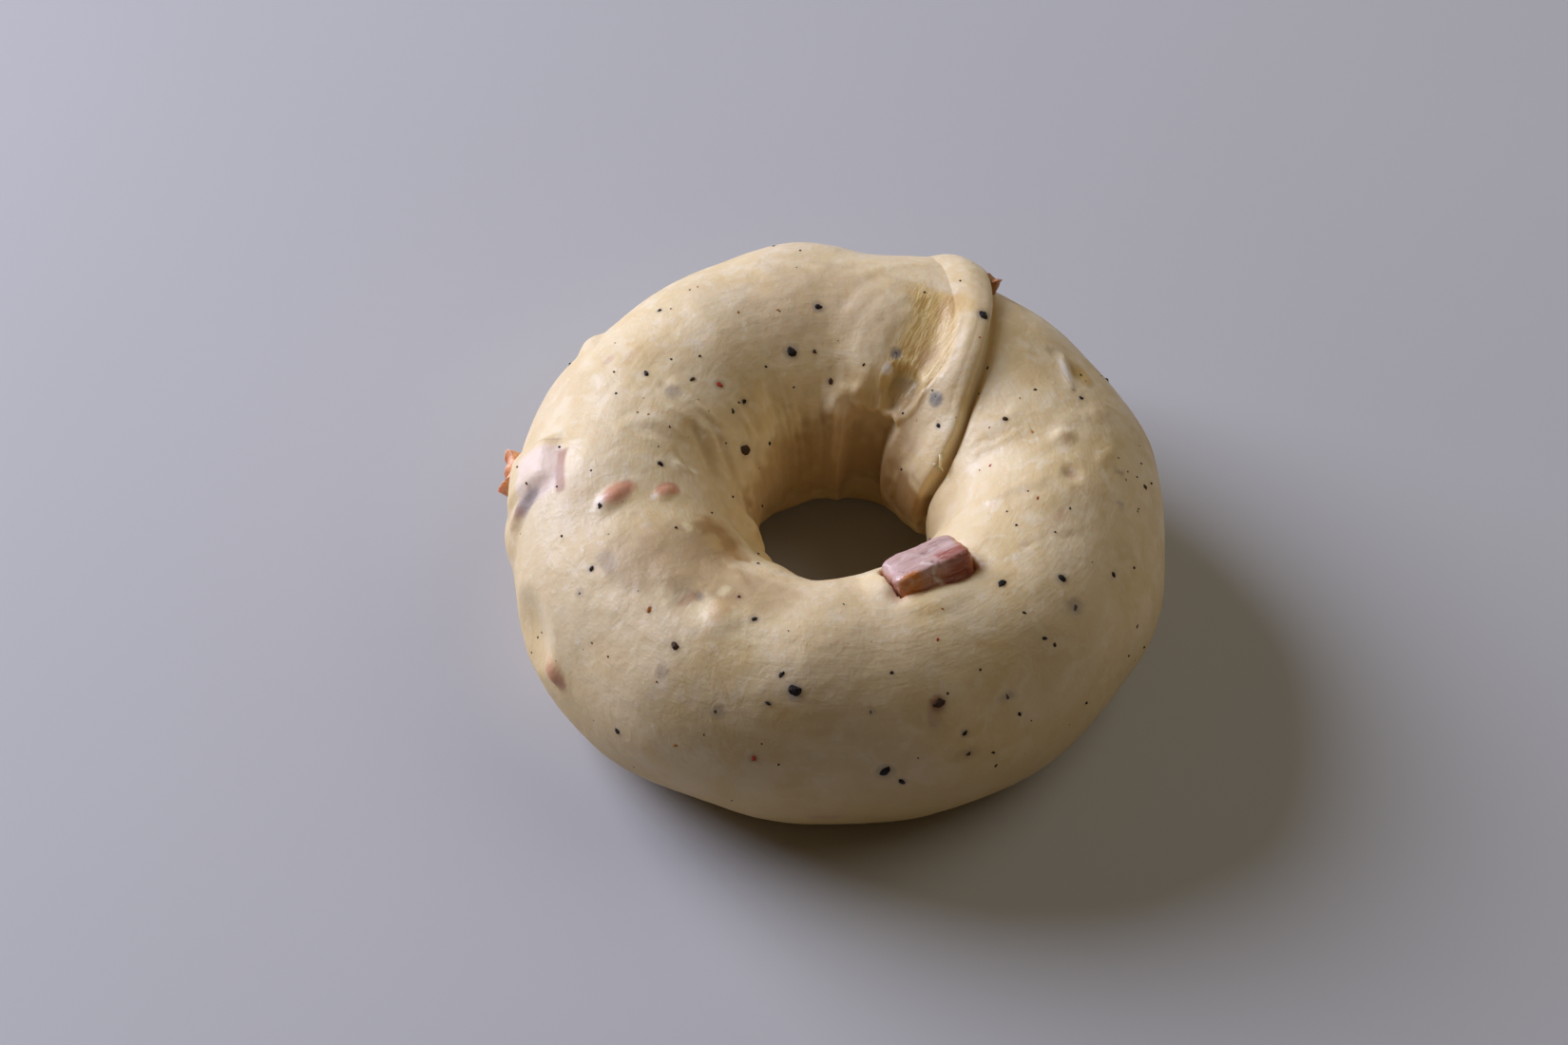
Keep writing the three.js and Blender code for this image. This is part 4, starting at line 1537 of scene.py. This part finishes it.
    def stain(self, photo: PhotoCamera, places: np.ndarray, theta: np.ndarray, phi: np.ndarray) -> tuple:
        """Colour of the stains, of the painted shade and of the painted highlights, and how strongly they
        show.

        Args:
            photo: the photograph's camera.
            places: the skin's places, in millimetres.
            theta: degrees round the ring.
            phi: degrees round the rope, from the hole over the crest to the outside.

        Returns:
            The colour, and a strength from 0 to 1.
        """
        colour = np.zeros((*theta.shape, 3)) + Tint.PALE.value
        strength = np.zeros(theta.shape)

        def add(tint: Colour, share: np.ndarray) -> None:
            """Lays a tint over the stains so far.

            Args:
                tint: the tint.
                share: how strongly it shows at each place.
            """
            nonlocal colour, strength
            total = strength + share * (1 - strength)
            weight = np.where(total > 1e-6, share / np.maximum(total, 1e-6), 0)
            colour = colour + (np.array(tint) - colour) * weight[..., None]
            strength = total

        flow = places.reshape(-1, 3)
        ragged = 0.22 * lattice_noise(flow * 0.9, 51).reshape(theta.shape)
        for stain in STAINS:
            at = stain.at
            if isinstance(at, Pixel):
                hit, face = self.shown(photo, at)
                if hit is None:
                    continue
                at = float(theta.ravel()[face]), float(phi.ravel()[face])
            u, v = self.ring.spread(at, stain.size, stain.turn, theta, phi)
            if stain.square:
                share = 1 - smoothstep(np.maximum(u, v) + 0.3 * ragged, 0.85, 1.15)
            else:
                share = 1 - smoothstep(np.hypot(u, v) + ragged, 0.55, 1.25)
            add(stain.tint.value, stain.strength * share)
        for speck, place in self.specks:
            if speck.width >= 0.8:
                away = np.linalg.norm(places - place, axis=-1)
                tone = Tint.GREY if speck.grain in (Grain.BLACK, Grain.SLATE) else Tint.BROWN
                add(tone.value, 0.42 * (1 - smoothstep(away, 0.4 * speck.width, 0.95 * speck.width)))
        beside = self.dice.outside(flow).reshape(theta.shape)
        local = self.dice.seat.into(flow).reshape(*theta.shape, 3)
        under = (1 - smoothstep(beside, 0.1, 2.0)) * smoothstep(local[..., 1], 0.5, 3.0)
        add(Tint.FLESH.value, 0.5 * under * (np.abs(local[..., 2]) < self.DICE_REACH))
        return colour, strength

    def build(self, material: bpy.types.Material, photo: PhotoCamera,
              specks: list[Speck]) -> bpy.types.Object:
        """Makes the skin, and finds where each speck of the photograph lies on it.

        Args:
            material: its finish.
            photo: the photograph's camera.
            specks: the grains to place.

        Returns:
            The piece.
        """
        theta, phi = self.grid()
        places = self.ring.skin(theta, phi, self.fine(theta, phi))
        places = self.pocket(places)
        places[..., 2] = np.maximum(places[..., 2], 0)
        rows, columns = theta.shape
        at = np.arange(rows * columns).reshape(rows, columns)
        right, up = np.roll(at, -1, axis=1), np.roll(at, -1, axis=0)
        faces = np.stack([at, up, np.roll(up, -1, axis=1), right], axis=-1).reshape(-1, 4)
        flat = places.reshape(-1, 3)
        self.tree = BVHTree.FromPolygons(flat.tolist(), faces.tolist())
        self.specks = self.find(photo, specks)
        colour, strength = self.stain(photo, places, theta, phi)
        values = {
            "stain": opaque(colour.reshape(-1, 3)),
            "stain_and_painted_light": strength.ravel(),
            "torn": self.hollow_share(theta, phi).ravel(),
            "skin": on_tube(theta, phi),
        }
        piece = make_mesh("dough_skin", boxed(flat), faces, values)
        settle(piece, material, Slot.DOUGH, "dough")
        return piece

    def find(self, photo: PhotoCamera, specks: list[Speck]) -> list[tuple[Speck, np.ndarray]]:
        """Casts each speck's pixel onto the skin."""
        hits = [(speck, self.shown(photo, speck)[0]) for speck in specks]
        return [(speck, np.array(hit)) for speck, hit in hits if hit is not None]


@dataclass
class Wisps:
    """Thin torn threads of dough that curl up from the lip over the crease.

    Args:
        ring: the ring.
        threads: for each thread theta, phi and height over the skin along it.
        thick: radius where a thread starts.
        thin: radius at its tip.
        sides: points round it.
        steps: rings of points along it.
    """

    ring: Ring
    threads: tuple = (
        ((19.5, 37, -0.5), (17.5, 38.5, 1.2), (15.0, 38.0, 1.9), (12.5, 36, 1.6), (10.5, 35, 0.9)),
        ((18.5, 33, -0.5), (16.5, 34.5, 1.0), (14.5, 34.0, 1.5), (13.0, 31.5, 1.2)),
    )
    thick: float = 0.26
    thin: float = 0.07
    sides: int = 10
    steps: int = 28

    def middle(self, thread: tuple) -> np.ndarray:
        """Points along a thread's middle.

        Args:
            thread: theta, phi and height over the skin along it.

        Returns:
            N x 3 places.
        """
        theta, phi, height = np.array(thread, float).T
        _, _, out = self.ring.axes(theta, phi)
        knots = self.ring.skin(theta, phi) + out * height[:, None]
        at = np.linspace(0, len(knots) - 1, self.steps)
        return np.stack([along(list(enumerate(knots[:, k])), at) for k in range(3)], axis=-1)

    def build(self, material: bpy.types.Material) -> bpy.types.Object:
        """Makes the threads as one piece of closed, tapered tubes.

        Args:
            material: its finish.

        Returns:
            The piece.
        """
        points, faces = [], []
        for thread in self.threads:
            middle = self.middle(thread)
            way = np.gradient(middle, axis=0)
            way /= np.linalg.norm(way, axis=1, keepdims=True)
            side = np.cross(way, [0.3, 0.2, 0.93])
            side /= np.linalg.norm(side, axis=1, keepdims=True)
            rise = np.cross(way, side)
            radius = np.linspace(self.thick, self.thin, self.steps)[:, None, None]
            turn = np.linspace(0, 2 * math.pi, self.sides, endpoint=False)[None, :, None]
            section = side[:, None] * np.cos(turn) * 1.5 + rise[:, None] * np.sin(turn)
            faces += tube(self.steps, self.sides, sum(map(len, points)))
            points += [(middle[:, None] + radius * section).reshape(-1, 3), middle[:1], middle[-1:]]
        flat = np.vstack(points)
        stain, zeros = plain(Tint.PALE.value, len(flat)), np.zeros(len(flat))
        values = {"stain": stain, "stain_and_painted_light": zeros, "torn": zeros, "skin": flat}
        piece = make_mesh("dough_wisps", boxed(flat), faces, values)
        face_outwards(piece)
        settle(piece, material, Slot.DOUGH)
        return piece


# The specks that show in the photograph
BLACK, BROWN, SLATE, RED, AMBER = Grain
SPECKS = [Speck(*row) for row in (
    (694, 327, 1.0, BLACK), (814, 259, 0.8, BLACK), (861, 323, 1.3, BLACK), (833, 370, 1.8, BLACK),
    (709, 414, 2.0, SLATE), (680, 393, 1.0, BLACK), (729, 399, 0.9, BROWN), (706, 378, 0.5, BLACK),
    (682, 436, 0.6, AMBER), (671, 434, 0.4, BLACK), (648, 414, 0.7, BLACK), (757, 405, 1.2, RED),
    (783, 423, 1.0, BLACK), (778, 424, 0.5, BLACK), (771, 433, 0.7, BLACK), (785, 474, 2.0, BROWN),
    (810, 467, 0.7, BLACK), (799, 493, 0.4, BLACK), (695, 488, 1.0, BLACK), (693, 470, 0.4, BLACK),
    (705, 449, 0.4, BLACK), (622, 495, 0.5, BLACK), (806, 386, 0.6, BLACK), (874, 401, 1.0, BROWN),
    (857, 370, 0.8, BROWN), (777, 329, 0.5, AMBER), (818, 326, 0.5, AMBER), (734, 302, 0.4, RED),
    (835, 408, 0.4, BLACK), (1035, 331, 1.7, BLACK), (1031, 355, 0.4, RED), (943, 371, 1.4, SLATE),
    (909, 384, 0.6, BLACK), (981, 411, 0.4, BLACK), (984, 418, 0.7, SLATE), (987, 448, 0.9, BLACK),
    (1039, 387, 0.6, BLACK), (1089, 410, 0.6, BLACK), (1138, 419, 1.0, BLACK), (1129, 410, 1.0, SLATE),
    (1138, 395, 0.6, BLACK), (1143, 401, 0.4, BLACK), (1058, 441, 1.0, BROWN), (1041, 450, 0.4, RED),
    (1086, 454, 0.6, AMBER), (1042, 490, 0.5, RED), (1082, 517, 0.4, BLACK), (1092, 524, 0.6, RED),
    (1179, 531, 1.3, SLATE), (1126, 535, 0.5, BLACK), (1177, 482, 0.4, BLACK), (1185, 505, 0.4, BLACK),
    (1201, 488, 0.5, BLACK), (1197, 538, 0.4, BLACK), (631, 532, 0.9, BLACK), (554, 509, 0.5, BLACK),
    (622, 599, 1.0, BLACK), (610, 624, 1.2, SLATE), (683, 642, 1.1, AMBER), (736, 628, 1.0, SLATE),
    (778, 628, 0.8, BROWN), (793, 652, 1.1, BLACK), (710, 680, 1.4, BROWN), (697, 707, 1.6, SLATE),
    (623, 677, 0.5, BROWN), (566, 671, 0.6, BLACK), (570, 666, 0.5, BLACK), (822, 710, 1.0, BLACK),
    (837, 728, 2.0, BLACK), (755, 749, 1.6, SLATE), (808, 740, 0.8, BLACK), (650, 770, 1.0, BLACK),
    (711, 785, 0.7, AMBER), (793, 798, 1.2, RED), (819, 805, 0.5, BLACK), (917, 749, 0.9, SLATE),
    (938, 708, 0.7, BLACK), (888, 636, 0.4, BLACK), (932, 812, 2.0, BLACK), (949, 823, 1.2, BLACK),
    (1055, 614, 1.2, BLACK), (1118, 610, 1.4, BLACK), (1131, 638, 2.0, SLATE), (1172, 605, 0.9, BLACK),
    (1197, 659, 0.7, BLACK), (1078, 645, 0.7, BLACK), (987, 673, 0.6, RED), (1099, 672, 0.7, BLACK),
    (1110, 679, 0.7, BLACK), (988, 741, 1.8, BROWN), (1060, 733, 1.2, SLATE), (1015, 772, 1.0, BLACK),
    (1073, 752, 0.7, BLACK), (1019, 794, 0.9, BROWN), (1045, 792, 0.7, BLACK), (1048, 806, 0.7, BLACK),
    (992, 641, 0.5, AMBER), (798, 593, 0.7, BLACK),
)]

# Cracked pepper by a rule round the outside of the back half, where the solid has it too
GOLDEN_ANGLE = 137.5
BACK_GRAINS = 16


@dataclass
class PepperGrains:
    """Cracked pepper: the grains that the photograph shows, and more round the back.

    Args:
        ring: the ring.
        proud: share of a grain's width that stands out of the skin.
        sunk: the same for a grain that the skin nearly covers.
        scale: width of a grain as a share of the width that is given for it.
    """

    SHAPE = np.array([0.54, 0.38, 0.32])

    ring: Ring
    proud: float = 0.16
    sunk: float = 0.03
    scale: float = 0.95

    def chunk(self, place: np.ndarray, out: np.ndarray, width: float, proud: float, seed: int) -> tuple:
        """One grain: a small angular chunk, wider than it is high.

        Args:
            place: where it lies.
            out: the way out of the skin.
            width: its width.
            proud: share of the width that stands out.
            seed: number that its shape comes from.

        Returns:
            Its points, and the corners of each face.
        """
        shape = bmesh.new()
        bmesh.ops.create_icosphere(shape, subdivisions=2, radius=1.0)
        way, faces = take(shape)
        rough = 1 + 0.42 * lattice_noise(way * 1.3 + seed * 7.3, 61)
        rough = rough + 0.16 * lattice_noise(way * 3.1 + seed, 62)
        upright = Vector((0, 0, 1)).rotation_difference(Vector(out)).to_matrix()
        turn = upright @ Matrix.Rotation(seed * 1.7, 3, "Z")
        local = way * rough[:, None] * self.SHAPE * width
        return place + out * width * (proud - self.SHAPE[2]) + local @ np.array(turn).T, faces

    def build(self, skin: DoughSkin, material: bpy.types.Material) -> bpy.types.Object:
        """Makes all the grains as one piece.

        Args:
            skin: the dough that it lies on.
            material: its finish.

        Returns:
            The piece.
        """
        points, faces, colours = [], [], []
        chosen = [(place, speck.width, speck.grain) for speck, place in skin.specks]
        for i in range(BACK_GRAINS):
            theta = np.array((i * GOLDEN_ANGLE) % 180)
            phi = np.array(142.0 + (i * 23) % 52)
            place = self.ring.skin(theta, phi)
            grain = Grain.BROWN if i % 3 == 0 else Grain.BLACK
            chosen.append((place, 1.1 + 0.6 * ((i * 0.618) % 1), grain))
        for seed, (place, width, grain) in enumerate(chosen):
            hit, normal, _, _ = skin.tree.find_nearest(Vector(place))
            proud = self.sunk if grain is Grain.SLATE else self.proud
            chunk, own = self.chunk(np.array(hit), np.array(normal), width * self.scale, proud, seed)
            start = sum(map(len, points))
            faces += [[corner + start for corner in face] for face in own]
            points.append(chunk)
            colours.append(plain(grain.value, len(chunk)))
        values = {"stain": np.vstack(colours)}
        piece = make_mesh("pepper_grains", boxed(np.vstack(points)), faces, values, smooth=False)
        settle(piece, material, Slot.PEPPER)
        return piece


@dataclass
class FinePepper:
    """Fine pepper dust, scattered over the skin by geometry nodes.

    Args:
        density: grains for each square metre of skin.
        smallest: smallest width, in metres.
        largest: largest width, in metres.
        above: no grain lies lower than this, in metres.
        seed: which scatter.
    """

    density: float = 8500.0
    smallest: float = 0.00012
    largest: float = 0.00048
    above: float = 0.0006
    seed: int = 7

    def tree(self, material: bpy.types.Material) -> bpy.types.NodeTree:
        """The node group: points on the skin, a small chunk on each, made real.

        Args:
            material: its finish.

        Returns:
            The node group.
        """
        tree = bpy.data.node_groups.new("scatter_pepper", "GeometryNodeTree")
        tree.interface.new_socket("Skin", in_out="INPUT", socket_type="NodeSocketGeometry")
        for name in ("Density", "Smallest", "Largest"):
            tree.interface.new_socket(name, in_out="INPUT", socket_type="NodeSocketFloat")
        tree.interface.new_socket("Grains", in_out="OUTPUT", socket_type="NodeSocketGeometry")
        nodes, links = tree.nodes, tree.links
        given, made = nodes.new("NodeGroupInput"), nodes.new("NodeGroupOutput")
        spread = nodes.new("GeometryNodeDistributePointsOnFaces")
        spread.inputs["Seed"].default_value = self.seed
        chunk = nodes.new("GeometryNodeMeshIcoSphere")
        chunk.inputs["Radius"].default_value = 0.5
        chunk.inputs["Subdivisions"].default_value = 1
        place = nodes.new("GeometryNodeInstanceOnPoints")
        size = nodes.new("FunctionNodeRandomValue")
        turn = nodes.new("FunctionNodeRandomValue")
        turn.data_type = "FLOAT_VECTOR"
        turn.inputs[1].default_value = (6.28, 6.28, 6.28)
        where, height = nodes.new("GeometryNodeInputPosition"), nodes.new("ShaderNodeSeparateXYZ")
        clear = nodes.new("ShaderNodeMath")
        clear.operation = "GREATER_THAN"
        clear.inputs[1].default_value = self.above
        real = nodes.new("GeometryNodeRealizeInstances")
        paint = nodes.new("GeometryNodeSetMaterial")
        paint.inputs["Material"].default_value = material
        links.new(given.outputs["Skin"], spread.inputs["Mesh"])
        links.new(given.outputs["Density"], spread.inputs["Density"])
        links.new(where.outputs["Position"], height.inputs[0])
        links.new(height.outputs["Z"], clear.inputs[0])
        links.new(clear.outputs[0], spread.inputs["Selection"])
        links.new(given.outputs["Smallest"], size.inputs[2])
        links.new(given.outputs["Largest"], size.inputs[3])
        links.new(spread.outputs["Points"], place.inputs["Points"])
        links.new(chunk.outputs["Mesh"], place.inputs["Instance"])
        links.new(turn.outputs[0], place.inputs["Rotation"])
        links.new(size.outputs[1], place.inputs["Scale"])
        links.new(place.outputs["Instances"], real.inputs["Geometry"])
        links.new(real.outputs["Geometry"], paint.inputs["Geometry"])
        links.new(paint.outputs["Geometry"], made.inputs["Grains"])
        return tree

    def build(self, skin: bpy.types.Object, material: bpy.types.Material) -> bpy.types.Object:
        """Scatters the grains and keeps them as a plain mesh.

        Args:
            skin: the dough that it lies on.
            material: its finish.

        Returns:
            The piece.
        """
        carrier = bpy.data.objects.new("scatter_carrier", skin.data.copy())
        bpy.context.scene.collection.objects.link(carrier)
        scatter = carrier.modifiers.new("scatter", "NODES")
        tree = self.tree(material)
        scatter.node_group = tree
        given = [item for item in tree.interface.items_tree if item.in_out == "INPUT"]
        sockets = {item.name: item.identifier for item in given}
        scatter[sockets["Density"]] = self.density
        scatter[sockets["Smallest"]] = self.smallest
        scatter[sockets["Largest"]] = self.largest
        view = bpy.context.evaluated_depsgraph_get()
        mesh = bpy.data.meshes.new_from_object(carrier.evaluated_get(view))
        bpy.data.objects.remove(carrier)
        mesh.name = "pepper_dust"
        for name in ("stain", "stain_and_painted_light", "torn", "skin"):
            if name in mesh.attributes:
                mesh.attributes.remove(mesh.attributes[name])
        places = np.array([v.co for v in mesh.vertices])
        mesh.vertices.foreach_set("co", (boxed(places / MM) * MM).astype(np.float32).ravel())
        black, brown = np.array(Grain.BLACK.value), np.array(Grain.BROWN.value)
        share = smoothstep(lattice_noise(places * 900, 71), -0.2, 0.6)[:, None]
        layer = mesh.attributes.new("stain", "FLOAT_COLOR", "POINT")
        layer.data.foreach_set("color", opaque(black + (brown - black) * share).astype(np.float32).ravel())
        piece = bpy.data.objects.new("pepper_dust", mesh)
        bpy.context.scene.collection.objects.link(piece)
        settle(piece, material, Slot.PEPPER)
        return piece


# Outlines of the two chips: along the ring, and out of the skin
RIND_OUTLINE = ((3.3, -2.4), (3.4, 2.1), (2.4, 1.5), (1.2, 1.5), (0.4, 1.6), (-0.3, 0.9), (-1.2, 1.3),
                (-2.6, 1.9), (-3.2, 0.4), (-3.1, -2.4))
SEAM_BIT_OUTLINE = ((1.2, -1.6), (1.4, 1.0), (0.6, 0.6), (-0.6, 0.9), (-1.5, 0.4), (-1.1, -1.6))


class Studio:
    """A plain pale floor and soft light from behind on the left, as in the photograph."""

    DISTANCE = 1.2
    KEY_WAY = Vector((-0.76, 0.50, 0.48)).normalized()
    KEY_COLOUR = (0.965, 0.985, 1.23)
    KEY_SIZE = 0.85
    KEY_POWER = 17.6
    SIDE_WAY = Vector((0.62, 0.20, 0.76)).normalized()
    SIDE_COLOUR = (1.0, 0.93, 0.80)
    SIDE_SIZE = 0.9
    SIDE_POWER = 2.6
    FILL = (0.058, 0.039, 0.021)
    FLOOR_REACH = 3000.0
    FLOOR_GAP = 0.02

    def build(self) -> None:
        """Makes the floor, the two lamps and the room's light."""
        x, z = self.FLOOR_REACH, -self.FLOOR_GAP
        corners = np.array([[-x, -x, z], [x, -x, z], [x, x, z], [-x, x, z]])
        floor = make_mesh("floor", corners, [[0, 1, 2, 3]], {}, smooth=False)
        floor.data.materials.append(floor_finish())
        self.lamp("key", self.KEY_WAY, self.KEY_COLOUR, self.KEY_SIZE, self.KEY_POWER)
        self.lamp("side", self.SIDE_WAY, self.SIDE_COLOUR, self.SIDE_SIZE, self.SIDE_POWER)
        world = bpy.data.worlds.new("room")
        world.use_nodes = True
        world.node_tree.nodes["Background"].inputs["Color"].default_value = (*self.FILL, 1.0)
        bpy.context.scene.world = world
        bpy.context.scene.view_settings.view_transform = "Standard"

    def lamp(self, name: str, way: Vector, colour: Colour, size: float, power: float) -> None:
        """Adds a round soft light.

        Args:
            name: its name.
            way: direction from the bagel to it.
            colour: its colour.
            size: how wide it is, in metres.
            power: its power in watts.
        """
        data = bpy.data.lights.new(name, "AREA")
        data.shape, data.size, data.energy, data.color = "DISK", size, power, colour
        light = bpy.data.objects.new(name, data)
        light.location = way * self.DISTANCE
        light.rotation_mode = "QUATERNION"
        light.rotation_quaternion = way.to_track_quat("Z", "Y")
        bpy.context.scene.collection.objects.link(light)


def main() -> None:
    """Builds the bagel and the studio."""
    logging.basicConfig(level=logging.INFO, format="%(message)s")
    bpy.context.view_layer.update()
    photo = PhotoCamera()
    photo.build()
    Studio().build()
    ring = Ring()
    dice = RimDice(ring)
    dice.build(bacon_finish())
    strip = Chip(ring, "rind_strip", "bacon_rind_left", at=(172.4, 163), proud=0.1, outline=RIND_OUTLINE,
                 thickness=2.0, deep=(0.72, 0.24, 0.06), pale=(0.84, 0.44, 0.22))
    strip.build(rind_finish("smoked_rind", (0.88, 0.42, 0.18)))
    crumb = Chip(ring, "seam_crumb", "bacon_bit_seam", at=(56.4, 128), proud=1.3, outline=SEAM_BIT_OUTLINE,
                 thickness=1.1, deep=(0.22, 0.09, 0.03), pale=(0.38, 0.17, 0.06))
    crumb.build(rind_finish("smoked_crumb", (0.52, 0.25, 0.09)))
    skin = DoughSkin(ring, dice)
    raw = dough_finish()
    dough = skin.build(raw, photo, SPECKS)
    Wisps(ring).build(raw)
    pepper = pepper_finish()
    PepperGrains(ring).build(skin, pepper)
    FinePepper().build(dough, pepper)


if __name__ == "__main__":
    main()
